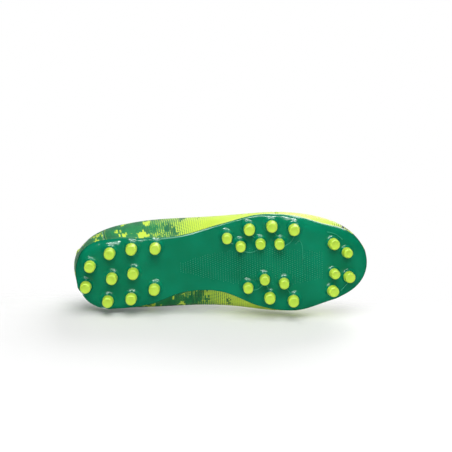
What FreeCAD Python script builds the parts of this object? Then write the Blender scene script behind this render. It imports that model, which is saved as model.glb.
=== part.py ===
"""Soccer cleat, right foot, as an assembly of separate pieces.

Frame: +X to the toe, +Y to the medial (big toe) side, +Z up. The ground is Z = 0, where the studs stand.
Units are millimetres and degrees.

The free shapes come from a shoe last: six rows of poles run round the foot, from the feather edge at the
sole up to the spine of the instep and the ankle. An angle runs round each row, from 0 at the toe along one
side to 180 at the heel, and x follows its cosine, so that toe and heel are round. Each leather, knit or
moulded shell is a patch of that last between two offsets.
"""
import FreeCAD, Part
import math
import os

Vec = FreeCAD.Vector
doc = FreeCAD.newDocument("soccer_cleat")
sheet = doc.addObject("Spreadsheet::Sheet", "Dims")
sheet_rows = [0]


def put(alias, value):
    """Writes one driving dimension into the sheet and gives its cell an alias."""
    sheet_rows[0] += 1
    row = sheet_rows[0]
    sheet.set(f"A{row}", alias)
    sheet.set(f"B{row}", f"{value:.6g}")
    sheet.setAlias(f"B{row}", alias)


def dim(alias):
    """Reads a driving dimension back."""
    return float(sheet.get(alias))


# ---------------------------------------------------------------- driving dimensions
single_values = {
    "toe_end_x": 144.2,          # plate, front end
    "heel_end_x": -141.3,        # plate, rear end
    "plate_thick": 2.4,
    "cement_gap": 0.22,          # between the plate and the upper's lower edge
    "edge_round": 2.0,
    "rim_thick": 1.6,            # the moulded edge that cups the upper
    "upper_gap": 0.65,           # between the rim and the upper, filled with cement
    "prism_height": 70.0,
    "ground_lug_height": 8.0,    # lime tip of a stud that stands on the ground
    "toe_lug_height": 6.5,
    "toe_lug_slope": 14.0,
    "lug_big_r": 5.0,
    "lug_small_r": 4.5,
    "lug_root_flare": 0.5,       # how much wider a lime tip is at its root
    "boss_flare": 1.2,
    "upper_thick": 1.5,
    "puff_thick": 1.0,
    "counter_thick": 1.4,
    "lining_thick": 4.2,
    "lining_gap": 0.55,          # foam side of the collar lining to the upper
    "shell_gap": 0.12,
    "board_thick": 1.5,
    "liner_thick": 4.0,
    "liner_inset": 7.0,
    "eyestay_thick": 1.0,
    "eyestay_width": 14.0,
    "eyelet_r": 2.1,
    "tongue_drop": 4.9,          # from the outside of the instep down to the top of the tongue
    "tongue_thick": 3.4,
    "lace_width": 5.0,
    "lace_thick": 1.3,
    "vamp_end": 0.365,           # share of the way round from toe to heel where the vamp stops
    "heel_start": 0.815,         # and where the heel panel starts
    "throat_top": 0.585,
    "tab_width": 13.0,
    "tab_thick": 1.8,
    "tab_height": 15.0,
}
single_values["shift_x"] = 0.57   # puts the origin under the middle of the boot
single_values["shift_y"] = 5.75
for name, value in single_values.items():
    put(name, value)

# Half widths of the plate at every 15 degrees from toe to heel, divided by the sine of the angle.
PLATE_ANGLES = list(range(0, 181, 15))
plate_lateral = [74, 71, 69, 62, 62.5, 59, 48, 40, 42.5, 51.5, 65, 77, 73]
plate_medial = [68, 63.5, 56, 50, 48, 37, 20.5, 20, 35, 48.5, 64, 73.5, 70]
for angle, lateral, medial in zip(PLATE_ANGLES, plate_lateral, plate_medial):
    put(f"plate_lateral_{angle}", lateral)
    put(f"plate_medial_{angle}", medial)

# The rows of the last above the feather edge, at every 30 degrees. Each row has its two ends along x, its
# half widths over the sine of the angle, and its height above the feather edge.
ROW_ANGLES = list(range(0, 181, 30))
last_rows = {
    "low": dict(ends=(143.8, -142.5), lateral=[66, 67.5, 59.5, 46.5, 42, 60, 66],
                medial=[61, 54, 53.5, 36.5, 45, 62.5, 66], height=[8, 9, 11.5, 12, 13, 12, 12]),
    "wall": dict(ends=(146.0, -145.5), lateral=[64, 70, 63, 51.5, 52, 63.5, 66],
                 medial=[58, 53, 53, 44.5, 47, 61.5, 66], height=[13, 17, 22, 26, 27, 25, 25]),
    "shoulder": dict(ends=(136.5, -146.5), lateral=[50, 50.5, 52, 41, 51.5, 57, 62],
                     medial=[44, 43, 41.5, 39, 42, 56, 62], height=[19, 25, 37, 48, 50, 46, 44]),
    "top": dict(ends=(119, -140.5), lateral=[26, 25, 26.5, 25, 30.5, 48, 54],
                medial=[22, 21, 23, 22.5, 30, 48, 54], height=[20, 29, 47, 64, 68, 66, 64]),
}
for row, table in last_rows.items():
    put(f"{row}_toe", table["ends"][0])
    put(f"{row}_heel", table["ends"][1])
    for kind in ("lateral", "medial", "height"):
        for angle, value in zip(ROW_ANGLES, table[kind]):
            put(f"{row}_{kind}_{angle}", value)
put("welt_height", 5.5)      # the wall of the upper stands straight up this far inside the rim
put("crest_toe", 102.5)
put("crest_heel", -134.5)
put("ankle_angle", 105)      # where the spine opens into the ankle
put("ankle_half_width", 30)
put("ankle_height", 100)

# Side view curves: x stations and heights above the ground.
side_curves = {
    "sole_under": [(-146, 16.2), (-132, 12.6), (-110, 11.2), (-70, 11.4), (-40, 13.4), (-10, 15.2),
                   (20, 13.2), (45, 11.3), (68, 11.2), (90, 13.6), (112, 18.6), (130, 24.2), (150, 32.0)],
    "rim_top": [(-146, 23.6), (-128, 19.7), (-95, 18.1), (-60, 15.0), (-35, 16.3), (-8, 17.7), (18, 16.1),
                (40, 15.2), (66, 17.1), (92, 20.3), (115, 25.6), (132, 30.7), (150, 37.8)],
    "spine": [(-60, 107), (-40, 94.5), (-20, 84), (0, 75), (20, 67.5), (42, 61), (65, 56), (85, 52.3),
              (103, 49.3), (122, 46.0), (140, 42.5)],
}
for curve, points in side_curves.items():
    for index, (x, z) in enumerate(points):
        put(f"{curve}_x_{index}", x)
        put(f"{curve}_z_{index}", z)

# The top line of the collar by angle, and half the throat's width from its base to the top eyelet.
COLLAR_ANGLES = [105, 112, 120, 135, 150, 165, 180]
for angle, height in zip(COLLAR_ANGLES, [91, 82, 73.5, 65.5, 66, 72, 77]):
    put(f"collar_z_{angle}", height)
put("throat_base_half", 9.5)
put("throat_top_half", 16.5)

# Stud places: x, y and which tip.
studs = {
    "stud_heel": [(-130.2, 8.0, "big"), (-124.9, -12.6, "big"), (-109.6, 23.1, "big"),
                  (-105.3, -25.0, "big"), (-104.5, 0.1, "big"), (-84.3, -28.7, "big"),
                  (-86.9, 21.2, "big"), (-83.8, -4.3, "big"), (-64.1, 12.3, "big"), (-61.4, -28.7, "big")],
    "stud_ball": [(7.7, -36.6, "small"), (20.6, -28.1, "small"), (26.6, 13.7, "small"),
                  (29.2, -44.6, "big"), (39.5, -30.1, "small"), (42.8, 5.7, "small"), (47.3, 24.5, "big"),
                  (50.7, -47.1, "big"), (57.7, -29.4, "small"), (61.4, 10.1, "small"), (70.1, 28.2, "big"),
                  (71.9, -43.2, "big")],
    "stud_toe": [(110.1, 21.8, "big"), (111.3, -25.6, "big"), (111.8, 4.4, "small"),
                 (124.5, -15.4, "small"), (126.4, 9.5, "big")],
}
for group, places in studs.items():
    for index, (x, y, tip) in enumerate(places, 1):
        put(f"{group}_{index:02d}_x", x)
        put(f"{group}_{index:02d}_y", y)
doc.recompute()


# ---------------------------------------------------------------- curves and the last
def between(stations, values, at):
    """A smooth curve through values at evenly spaced stations, level at both ends."""
    step = stations[1] - stations[0]
    place = min(max((at - stations[0]) / step, 0), len(stations) - 1 - 1e-9)
    k = int(place)
    t = place - k
    p = [values[abs(k - 1)], values[k], values[k + 1], values[min(k + 2, 2 * len(values) - k - 4)]]
    slope_in, slope_out = (p[2] - p[0]) / 2, (p[3] - p[1]) / 2
    rise = p[2] - p[1]
    return (p[1] + slope_in * t + (3 * rise - 2 * slope_in - slope_out) * t ** 2
            + (slope_in + slope_out - 2 * rise) * t ** 3)


def uneven(stations, values, at):
    """The same for stations at any spacing, running straight on past both ends."""
    n = len(stations)
    k = max(0, min(n - 2, sum(1 for s in stations[1:-1] if s <= at)))

    def slope(i):
        low, high = max(i - 1, 0), min(i + 1, n - 1)
        return (values[high] - values[low]) / (stations[high] - stations[low])

    gap = stations[k + 1] - stations[k]
    t = (at - stations[k]) / gap
    if t < 0:
        return values[0] + slope(0) * (at - stations[0])
    if t > 1:
        return values[-1] + slope(n - 1) * (at - stations[-1])
    rise = values[k + 1] - values[k]
    a, b = slope(k) * gap, slope(k + 1) * gap
    return values[k] + a * t + (3 * rise - 2 * a - b) * t ** 2 + (a + b - 2 * rise) * t ** 3


def side(curve, x):
    """Height of a side view curve at x."""
    count = len(side_curves[curve])
    return uneven([dim(f"{curve}_x_{i}") for i in range(count)],
                  [dim(f"{curve}_z_{i}") for i in range(count)], x)


def feather_z(x):
    """Height of the plate's upper face, where the upper meets it."""
    return side("sole_under", x) + dim("plate_thick") + dim("cement_gap")


SIGN = {"lateral": -1, "medial": 1}


def outline_point(where, angle, inset=0.0):
    """A point of the plate's outline in plan, moved in by inset."""
    half_length = (dim("toe_end_x") - dim("heel_end_x")) / 2
    centre = (dim("toe_end_x") + dim("heel_end_x")) / 2
    widths = [dim(f"plate_{where}_{a}") for a in PLATE_ANGLES]
    turn = math.radians(angle)
    return (centre + (half_length - inset) * math.cos(turn),
            SIGN[where] * math.sin(turn) * (between(PLATE_ANGLES, widths, angle) - inset))


def row_point(row, where, angle):
    """A pole of the last: row is feather, welt, low, wall, shoulder, top or crest."""
    turn = math.radians(angle)
    if row in ("feather", "welt"):
        x, y = outline_point(where, angle, dim("rim_thick") + dim("upper_gap"))
        return Vec(x, y, feather_z(x) + (dim("welt_height") if row == "welt" else 0))
    toe, heel = dim(f"{row}_toe"), dim(f"{row}_heel")
    x = (toe + heel) / 2 + (toe - heel) / 2 * math.cos(turn)
    ankle = dim("ankle_angle")
    if row == "crest":
        share = max(0.0, (angle - ankle) / (180 - ankle))
        y = SIGN[where] * dim("ankle_half_width") * math.sin(math.pi * share)
        return Vec(x, y, side("spine", x) if share == 0 else dim("ankle_height"))
    width = between(ROW_ANGLES, [dim(f"{row}_{where}_{a}") for a in ROW_ANGLES], angle)
    height = between(ROW_ANGLES, [dim(f"{row}_height_{a}") for a in ROW_ANGLES], angle)
    z = feather_z(outline_point(where, angle)[0]) + height
    if row == "top":                       # keeps the instep level across the spine
        part = min(max((ankle + 5 - angle) / 20, 0), 1)
        z = part * side("spine", x) + (1 - part) * z
    return Vec(x, SIGN[where] * math.sin(turn) * width, z)


ROWS = ["feather", "welt", "low", "wall", "shoulder", "top", "crest"]
COLUMNS = 25


def clamped(count, degree):
    """Knots and multiplicities of a clamped even B-spline with count poles."""
    spans = count - degree
    return [i / spans for i in range(spans + 1)], [degree + 1] + [1] * (spans - 1) + [degree + 1]


def surface(grid):
    """A B-spline surface with these poles: cubic where there are enough, else straight."""
    du, dv = min(3, len(grid) - 1), min(3, len(grid[0]) - 1)
    uk, um = clamped(len(grid), du)
    vk, vm = clamped(len(grid[0]), dv)
    made = Part.BSplineSurface()
    made.buildFromPolesMultsKnots(grid, um, vm, uk, vk, False, False, du, dv)
    return made


def last_side(where):
    """One side of the last, toe to heel and feather edge to crest, each from 0 to 1."""
    grid = [[row_point(row, where, 180 * j / (COLUMNS - 1)) for row in ROWS] for j in range(COLUMNS)]
    for edge, beside in ((0, 1), (-1, -2)):   # square to the middle plane at toe and heel
        for pole, next_pole in zip(grid[edge][:-1], grid[beside][:-1]):
            next_pole.x, next_pole.z = pole.x, pole.z
    return surface(grid)


LAST = {where: last_side(where) for where in SIGN}


def on_last(where, u, v, offset=0.0):
    """A point of the last moved out by offset along its normal."""
    face = LAST[where]
    point = face.value(u, v)
    if not offset:
        return point
    step = 1e-4
    du = face.value(min(u + step, 1), v) - face.value(max(u - step, 0), v)
    dv = face.value(u, min(v + step, 1)) - face.value(u, max(v - step, 0))
    if u < 1e-9:                           # in the middle plane the normal stays in that plane
        normal = Vec(dv.z, 0, -dv.x)
    elif u > 1 - 1e-9:
        normal = Vec(-dv.z, 0, dv.x)
    elif v > 1 - 1e-9 and abs(point.y) < 1e-6:
        normal = Vec(du.z, 0, -du.x)
    else:
        normal = du.cross(dv) * SIGN[where]
    normal.normalize()
    return point + normal * offset


def solve_v(where, u, wanted, measure, low=0.0, high=1.0):
    """The v at which measure(point), which grows or falls along the wall, reaches wanted."""
    rising = measure(on_last(where, u, high)) > measure(on_last(where, u, low))
    for _ in range(30):
        middle = (low + high) / 2
        if (measure(on_last(where, u, middle)) < wanted) == rising:
            low = middle
        else:
            high = middle
    return (low + high) / 2


def throat_half(u):
    """Half the width of the throat, round at its base and wider towards the ankle."""
    start, stop = dim("vamp_end"), dim("throat_top")
    share = min(max((u - start) / (stop - start), 0), 1)
    round_base = min(share / 0.12, 1)
    return (dim("throat_base_half") * math.sqrt(1 - (1 - round_base) ** 2)
            + (dim("throat_top_half") - dim("throat_base_half")) * share)


def top_edge(where, u):
    """The v of the upper's top edge: the spine, then the throat, then the collar line."""
    if u <= dim("vamp_end"):
        return 1.0
    if u <= dim("throat_top"):
        return solve_v(where, u, throat_half(u), lambda p: abs(p.y), 0.45, 1.0)
    height = uneven(COLLAR_ANGLES, [dim(f"collar_z_{a}") for a in COLLAR_ANGLES], 180 * u)
    return solve_v(where, u, height, lambda p: p.z)


# ---------------------------------------------------------------- shells
def patch(where, u_places, v_low, v_high, rows, offset):
    """A grid of points on the last between two edges, each a function of u."""
    grid = []
    for u in u_places:
        low, high = v_low(where, u), v_high(where, u)
        grid.append([on_last(where, u, low + (high - low) * i / (rows - 1), offset) for i in range(rows)])
    return grid


def edge_strip(first, second):
    """The narrow face that joins two rows of poles."""
    return surface([list(first), list(second)]).toShape()


def shell_solid(sides, u_places, v_low, v_high, rows, outside, inside, shared):
    """A closed shell over one or both sides. shared names the edges where the two sides meet."""
    faces = []
    for where in sides:
        outer = patch(where, u_places, v_low, v_high, rows, outside)
        inner = patch(where, u_places, v_low, v_high, rows, inside)
        faces += [surface(outer).toShape(), surface(inner).toShape()]
        edges = {"start": (outer[0], inner[0]), "stop": (outer[-1], inner[-1]),
                 "low": ([c[0] for c in outer], [c[0] for c in inner]),
                 "high": ([c[-1] for c in outer], [c[-1] for c in inner])}
        faces += [edge_strip(*pair) for name, pair in edges.items() if name not in shared]
    return closed(faces)


def closed(faces):
    """The solid that a set of faces encloses."""
    skin = Part.makeShell(faces)
    skin.sewShape()
    skin = skin.Shells[0] if skin.ShapeType == "Compound" else skin
    solid = Part.makeSolid(skin)
    if solid.Volume < 0:
        solid.reverse()
    return solid


def spread(start, stop, count, crowd=0.0):
    """count places from start to stop, closer together near start as crowd goes to 1."""
    shares = [i / (count - 1) for i in range(count)]
    return [start + (stop - start) * ((1 - crowd) * s + crowd * s ** 2) for s in shares]


def add_feature(label, shape):
    """A named piece of the assembly that has a free shape."""
    feature = doc.addObject("Part::Feature", label)
    feature.Label = label
    feature.Shape = shape
    return feature


pieces = {}                      # node name to document object
bottom = lambda where, u: 0.0
thick, gap = dim("upper_thick"), dim("shell_gap")
vamp_end, heel_start, throat_top = dim("vamp_end"), dim("heel_start"), dim("throat_top")

pieces["vamp"] = add_feature("vamp", shell_solid(
    ("lateral", "medial"), spread(0, vamp_end - 0.001, 16), bottom, lambda w, u: 1.0, 12, 0, -thick,
    ("start", "high")))
for where in SIGN:
    name = f"quarter_{where}"
    pieces[name] = add_feature(name, shell_solid(
        (where,), spread(vamp_end + 0.001, throat_top, 22, 0.6) + spread(throat_top, heel_start - 0.001, 16)[1:],
        bottom, top_edge, 12, 0, -thick, ()))
pieces["heel_panel"] = add_feature("heel_panel", shell_solid(
    ("lateral", "medial"), spread(heel_start + 0.001, 1, 12), bottom, top_edge, 14, 0, -thick, ("stop",)))


def below_top(distance):
    """An edge that runs a set distance below the upper's top edge."""
    def edge(where, u):
        top = top_edge(where, u)
        reach = (on_last(where, u, top) - on_last(where, u, top - 0.02)).Length / 0.02
        return top - distance / reach
    return edge


for where in SIGN:
    name = f"eyestay_{where}"
    pieces[name] = add_feature(name, shell_solid(
        (where,), spread(vamp_end + 0.012, throat_top - 0.002, 20, 0.3), below_top(dim("eyestay_width")),
        below_top(0.4), 5, gap + dim("eyestay_thick"), gap, ()))

pieces["toe_puff"] = add_feature("toe_puff", shell_solid(
    ("lateral", "medial"), spread(0, 0.2, 10), lambda w, u: 0.1, lambda w, u: 0.72, 8,
    -thick - 2 * gap, -thick - 2 * gap - dim("puff_thick"), ("start",)))
pieces["heel_counter"] = add_feature("heel_counter", shell_solid(
    ("lateral", "medial"), spread(0.74, 1, 12), lambda w, u: 0.05, below_top(27.5), 8,
    -thick - gap, -thick - gap - dim("counter_thick"), ("stop",)))
pieces["collar_lining"] = add_feature("collar_lining", shell_solid(
    ("lateral", "medial"), spread(0.63, 1, 18), below_top(24.0), below_top(0.5), 8,
    -thick - dim("lining_gap"), -thick - dim("lining_gap") - dim("lining_thick"), ("stop",)))


# ---------------------------------------------------------------- sole plate
def outline_sketch(label, inset):
    """A sketch of the sole's outline in the ground plane, moved in by inset."""
    sketch = doc.addObject("Sketcher::SketchObject", label)
    walk = [("lateral", a) for a in range(0, 180, 5)] + [("medial", a) for a in range(180, 0, -5)]
    points = [Vec(*outline_point(where, angle, inset), 0) for where, angle in walk]
    curve = Part.BSplineCurve()
    curve.interpolate(points, True)
    sketch.addGeometry(curve)
    return sketch


def side_sketch(label, low, high, lift=0.0):
    """A sketch in the middle plane of the band between two side curves. low or high may be a height."""
    sketch = doc.addObject("Sketcher::SketchObject", label)
    sketch.Placement = FreeCAD.Placement(Vec(0, 0, 0), FreeCAD.Rotation(Vec(1, 0, 0), 90))
    ends = []
    for curve, raise_by in ((low, lift), (high, 0.0)):
        if isinstance(curve, str):
            first, last = dim(f"{curve}_x_0"), dim(f"{curve}_x_{len(side_curves[curve]) - 1}")
            points = [Vec(x, side(curve, x) + raise_by, 0) for x in spread(first, last, 38)]
            line = Part.BSplineCurve()
            line.interpolate(points)
        else:
            x_places = [dim("sole_under_x_0"), dim(f"sole_under_x_{len(side_curves['sole_under']) - 1}")]
            points = [Vec(x, curve, 0) for x in x_places]
            line = Part.LineSegment(*points)
        sketch.addGeometry(line)
        ends.append((points[0], points[-1]))
    for end in (0, 1):
        sketch.addGeometry(Part.LineSegment(ends[0][end], ends[1][end]))
    return sketch


def extruded(label, sketch, length, direction, both=False):
    """A solid prism of a sketch."""
    prism = doc.addObject("Part::Extrusion", label)
    prism.Base = sketch
    prism.DirMode = "Custom"
    prism.Dir = direction
    prism.Solid = True
    prism.Symmetric = both
    prism.setExpression("LengthFwd", length)
    return prism


def boolean(kind, label, *parts):
    """A Part boolean of two or more objects."""
    made = doc.addObject(f"Part::{kind}", label)
    if kind.startswith("Multi"):
        made.Shapes = list(parts)
    else:
        made.Base, made.Tool = parts
    return made


rim = dim("rim_thick")
outer_prism = extruded("outer_prism", outline_sketch("plate_outline", 0), "Dims.prism_height", Vec(0, 0, 1))
inner_prism = extruded("inner_prism", outline_sketch("cup_outline", rim), "Dims.prism_height", Vec(0, 0, 1))
rim_band = extruded("rim_band", side_sketch("rim_side", "sole_under", "rim_top"),
                    "Dims.prism_height * 2", Vec(0, 1, 0), True)
cup_band = extruded("cup_band", side_sketch("cup_side", "sole_under", 60.0, dim("plate_thick")),
                    "Dims.prism_height * 2", Vec(0, 1, 0), True)
plate_block = boolean("Common", "plate_block", outer_prism, rim_band)
doc.recompute()
low_edges = []
for index, edge in enumerate(plate_block.Shape.Edges, 1):
    places = [edge.valueAt(edge.FirstParameter + (edge.LastParameter - edge.FirstParameter) * t)
              for t in (0.2, 0.5, 0.8)]
    if all(abs(p.z - side("sole_under", p.x)) < 0.4 for p in places):
        low_edges.append((index, dim("edge_round"), dim("edge_round")))
print("edges rounded:", len(low_edges))
plate_round = doc.addObject("Part::Fillet", "plate_round")
plate_round.Base = plate_block
plate_round.Edges = low_edges
cup = boolean("Common", "cup", inner_prism, cup_band)
plate_cup = boolean("Cut", "plate_cup", plate_round, cup)

bosses = []
placed_by_sheet = []


def add_stud(name, tip, tilted):
    """One stud: its lime tip is a piece of its own and its green root belongs to the plate."""
    x, y = dim(f"{name}_x"), dim(f"{name}_y")
    height = "Dims.toe_lug_height" if tilted else "Dims.ground_lug_height"
    slope = dim("toe_lug_slope") if tilted else 0.0
    down = Vec(math.sin(math.radians(slope)), 0, -math.cos(math.radians(slope)))
    lug = doc.addObject("Part::Cone", name)
    lug.setExpression("Radius1", f"Dims.lug_{tip}_r")
    lug.setExpression("Radius2", f"Dims.lug_{tip}_r + Dims.lug_root_flare")
    lug.setExpression("Height", height)
    turn = FreeCAD.Rotation(Vec(0, 1, 0), -slope)
    under = side("sole_under", x)
    tip_z = 0.0 if not tilted else under - 3.0 - dim("toe_lug_height")
    lug.Placement = FreeCAD.Placement(Vec(x, y, tip_z), turn)
    if not tilted:
        lug.setExpression("Placement.Base.x", f"Dims.{name}_x + Dims.shift_x")
        lug.setExpression("Placement.Base.y", f"Dims.{name}_y + Dims.shift_y")
        placed_by_sheet.append(name)
    pieces[name] = lug
    root = Vec(x, y, tip_z) - down * (dim("toe_lug_height") if tilted else dim("ground_lug_height"))
    boss = doc.addObject("Part::Cone", name.replace("stud", "boss"))
    boss.setExpression("Radius1", f"Dims.lug_{tip}_r + Dims.lug_root_flare")
    boss.setExpression("Radius2", f"Dims.lug_{tip}_r + Dims.lug_root_flare + Dims.boss_flare")
    boss.Height = under + 1.2 - root.z
    boss.Placement = FreeCAD.Placement(root, turn)
    bosses.append(boss)


for group, places in studs.items():
    for index, (_, _, tip) in enumerate(places, 1):
        add_stud(f"{group}_{index:02d}", tip, group == "stud_toe")
doc.recompute()
plate = boolean("MultiFuse", "outsole_plate", plate_cup, *bosses)
pieces["outsole_plate"] = plate

# ---------------------------------------------------------------- insole board and sock liner
board_inset = rim + dim("upper_gap") + thick + 1.1
board_prism = extruded("board_prism", outline_sketch("board_outline", board_inset), "Dims.prism_height", Vec(0, 0, 1))
board_band = extruded("board_band", side_sketch("board_side", "sole_under", 60.0, dim("plate_thick") + gap),
                      "Dims.prism_height * 2", Vec(0, 1, 0), True)
board_top = extruded("board_top", side_sketch("board_top_side", "sole_under", 60.0,
                                              dim("plate_thick") + gap + dim("board_thick")),
                     "Dims.prism_height * 2", Vec(0, 1, 0), True)
board_block = boolean("Common", "board_block", board_prism, board_band)
pieces["insole_board"] = boolean("Cut", "insole_board", board_block, board_top)

liner_low = dim("plate_thick") + 2 * gap + dim("board_thick")
liner_prism = extruded("liner_prism", outline_sketch("liner_outline", dim("liner_inset")), "Dims.prism_height",
                       Vec(0, 0, 1))
liner_band = extruded("liner_band", side_sketch("liner_side", "sole_under", 60.0, liner_low),
                      "Dims.prism_height * 2", Vec(0, 1, 0), True)
liner_top = extruded("liner_top", side_sketch("liner_top_side", "sole_under", 60.0, liner_low + dim("liner_thick")),
                     "Dims.prism_height * 2", Vec(0, 1, 0), True)
liner_block = boolean("Common", "liner_block", liner_prism, liner_band)
pieces["sock_liner"] = boolean("Cut", "sock_liner", liner_block, liner_top)


# ---------------------------------------------------------------- tongue, laces and pull tab
def instep_point(u, y, offset):
    """A point under or over the instep at a signed distance y from the spine."""
    where = "medial" if y > 0 else "lateral"
    v = 1.0 if abs(y) < 1e-6 else solve_v(where, u, abs(y), lambda p: abs(p.y), 0.35, 1.0)
    return on_last(where, u, v, offset)


def tongue_row(u, half, offset, shares):
    """One row across the tongue: an even arch through the spine and a point 17 mm to each side."""
    crown = instep_point(u, 0.0, offset)
    foot = {1: instep_point(u, 17.0, offset), -1: instep_point(u, -17.0, offset)}
    row = []
    for s in shares:
        sag = (foot[1] + foot[-1]) * 0.5 - crown
        part = (half * s / 17.0) ** 2
        row.append(Vec(crown.x + sag.x * part, half * s, crown.z + sag.z * part))
    return row


def tongue_grid(offset):
    """Poles of one face of the tongue, from its seam in the vamp to its free end."""
    places = spread(vamp_end - 0.012, throat_top - 0.02, 12)
    shares = [i / 6 - 1 for i in range(13)]
    grid = [tongue_row(u, 13.5 + 3.5 * k / 11, offset, shares) for k, u in enumerate(places)]
    step = (grid[-1][6] - grid[-3][6]).normalize()
    last = grid[-1]
    for reach, shrink in ((9.0, 0.96), (19.0, 0.9), (26.0, 0.78)):
        row = []
        for base, s in zip(last, shares):
            end = base + step * (reach * (1 - 0.25 * abs(s) ** 3))
            row.append(Vec(end.x, end.y * shrink, end.z))
        grid.append(row)
    return grid


def grid_solid(outer, inner):
    """A closed solid between two pole grids of the same size."""
    faces = [surface(outer).toShape(), surface(inner).toShape()]
    faces += [edge_strip(outer[0], inner[0]), edge_strip(outer[-1], inner[-1]),
              edge_strip([c[0] for c in outer], [c[0] for c in inner]),
              edge_strip([c[-1] for c in outer], [c[-1] for c in inner])]
    return closed(faces)


drop = dim("tongue_drop")
pieces["tongue"] = add_feature("tongue", grid_solid(tongue_grid(-drop), tongue_grid(-drop - dim("tongue_thick"))))

EYELETS = 6
eyelet_u = [vamp_end + 0.026 + (throat_top - vamp_end - 0.045) * i / (EYELETS - 1) for i in range(EYELETS)]


def eyelet(where, u, offset):
    """A point on the axis of an eyelet, 7 mm out from the throat's edge."""
    return on_last(where, u, below_top(7.0)(where, u), offset)


holes = []
for where in SIGN:
    for u in eyelet_u:
        low, high = eyelet(where, u, -4.0), eyelet(where, u, 4.0)
        axis = high - low
        holes.append((where, Part.makeCylinder(dim("eyelet_r"), axis.Length, low, axis)))
for where in SIGN:
    drill = Part.makeCompound([hole for side_name, hole in holes if side_name == where])
    for name in (f"quarter_{where}", f"eyestay_{where}"):
        pieces[name].Shape = pieces[name].Shape.cut(drill).Solids[0]


def lace_strip(points, width, height):
    """A flat strip along points, made as one lofted solid. Its width lies along the instep."""
    sections = []
    for k, point in enumerate(points):
        ahead = points[min(k + 1, len(points) - 1)] - points[max(k - 1, 0)]
        ahead.normalize()
        up = (Vec(0.45, 0, 1) - ahead * ahead.dot(Vec(0.45, 0, 1))).normalize()
        across = ahead.cross(up).normalize() * (width / 2)
        rise = up * (height / 2)
        corners = [point + across + rise, point - across + rise, point - across - rise, point + across - rise]
        sections.append(Part.makePolygon(corners + corners[:1]))
    return Part.makeLoft(sections, True, True)


def lace_run(where_from, u_from, where_to, u_to, lift):
    """One visible run of the lace from eyelet to eyelet, arched over the tongue."""
    base = dim("eyestay_thick") + gap + dim("lace_thick") / 2 + 0.85
    a, b = eyelet(where_from, u_from, base), eyelet(where_to, u_to, base)
    middle_u = (u_from + u_to) / 2
    crown = instep_point(middle_u, 0.0, base + lift)
    left = (a * 0.55 + crown * 0.45) + Vec(0.2, 0, 1) * (1.6 + lift * 0.5)
    right = (b * 0.55 + crown * 0.45) + Vec(0.2, 0, 1) * (1.6 + lift * 0.5)
    return lace_strip([a, left, crown, right, b], dim("lace_width"), dim("lace_thick"))


lace_gap = dim("lace_thick") + 0.4
runs = [lace_run("lateral", eyelet_u[0], "medial", eyelet_u[0], 0.0)]
for i in range(EYELETS - 1):
    runs.append(lace_run("lateral", eyelet_u[i], "medial", eyelet_u[i + 1], 0.2))
    runs.append(lace_run("medial", eyelet_u[i], "lateral", eyelet_u[i + 1], 0.2 + lace_gap))
pieces["shoelace"] = add_feature("shoelace", Part.makeCompound(runs))

# A webbing pull tab stands up from the back of the collar.
heel_top = on_last("medial", 1.0, top_edge("medial", 1.0), 0)
tab = doc.addObject("Part::Box", "pull_tab")
tab.setExpression("Length", "Dims.tab_thick")
tab.setExpression("Width", "Dims.tab_width")
tab.setExpression("Height", "Dims.tab_height")
tab.Placement = FreeCAD.Placement(Vec(heel_top.x - 0.2, -dim("tab_width") / 2, heel_top.z + 0.8), FreeCAD.Rotation())
pieces["pull_tab"] = tab

# ---------------------------------------------------------------- build, check and write
doc.recompute()
failed = [o.Label for o in doc.Objects if set(o.State) & {"Invalid", "Error"}]
if failed:
    raise RuntimeError(f"these objects failed: {failed}")
os.makedirs("parts", exist_ok=True)
whole = FreeCAD.BoundBox()
for name, piece in pieces.items():
    piece.Label = name
    if name not in placed_by_sheet:
        place = piece.Placement
        place.Base = place.Base + Vec(dim("shift_x"), dim("shift_y"), 0)
        piece.Placement = place
    shape = piece.Shape
    if shape.isNull() or not shape.isValid() or not shape.Solids:
        raise RuntimeError(f"{name} is not a valid solid")
    shape.exportStep(f"parts/{name}.step")
    box = shape.BoundBox
    whole.add(box)
    print(f"{name}: {shape.Volume / 1000:.2f} cm3, {len(shape.Solids)} solids, x {box.XMin:.1f} {box.XMax:.1f}, "
          f"y {box.YMin:.1f} {box.YMax:.1f}, z {box.ZMin:.1f} {box.ZMax:.1f}")
print(f"whole: x {whole.XMin:.2f} {whole.XMax:.2f}, y {whole.YMin:.2f} {whole.YMax:.2f}, z {whole.ZMax:.2f}")
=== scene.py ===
# %% [markdown]
# # A soccer cleat
# The boot is drawn in metres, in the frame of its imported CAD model: +X to the toe, +Y to the big toe's side,
# +Z up, and the ground at Z = 0 where the studs stand. The frame is loaded first, because every new piece
# rides on one of its bodies and stays inside its box.

# %% Load the frame
import bpy, bmesh
import math
from functools import lru_cache
from mathutils import Vector, Matrix
from mathutils.kdtree import KDTree


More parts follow.
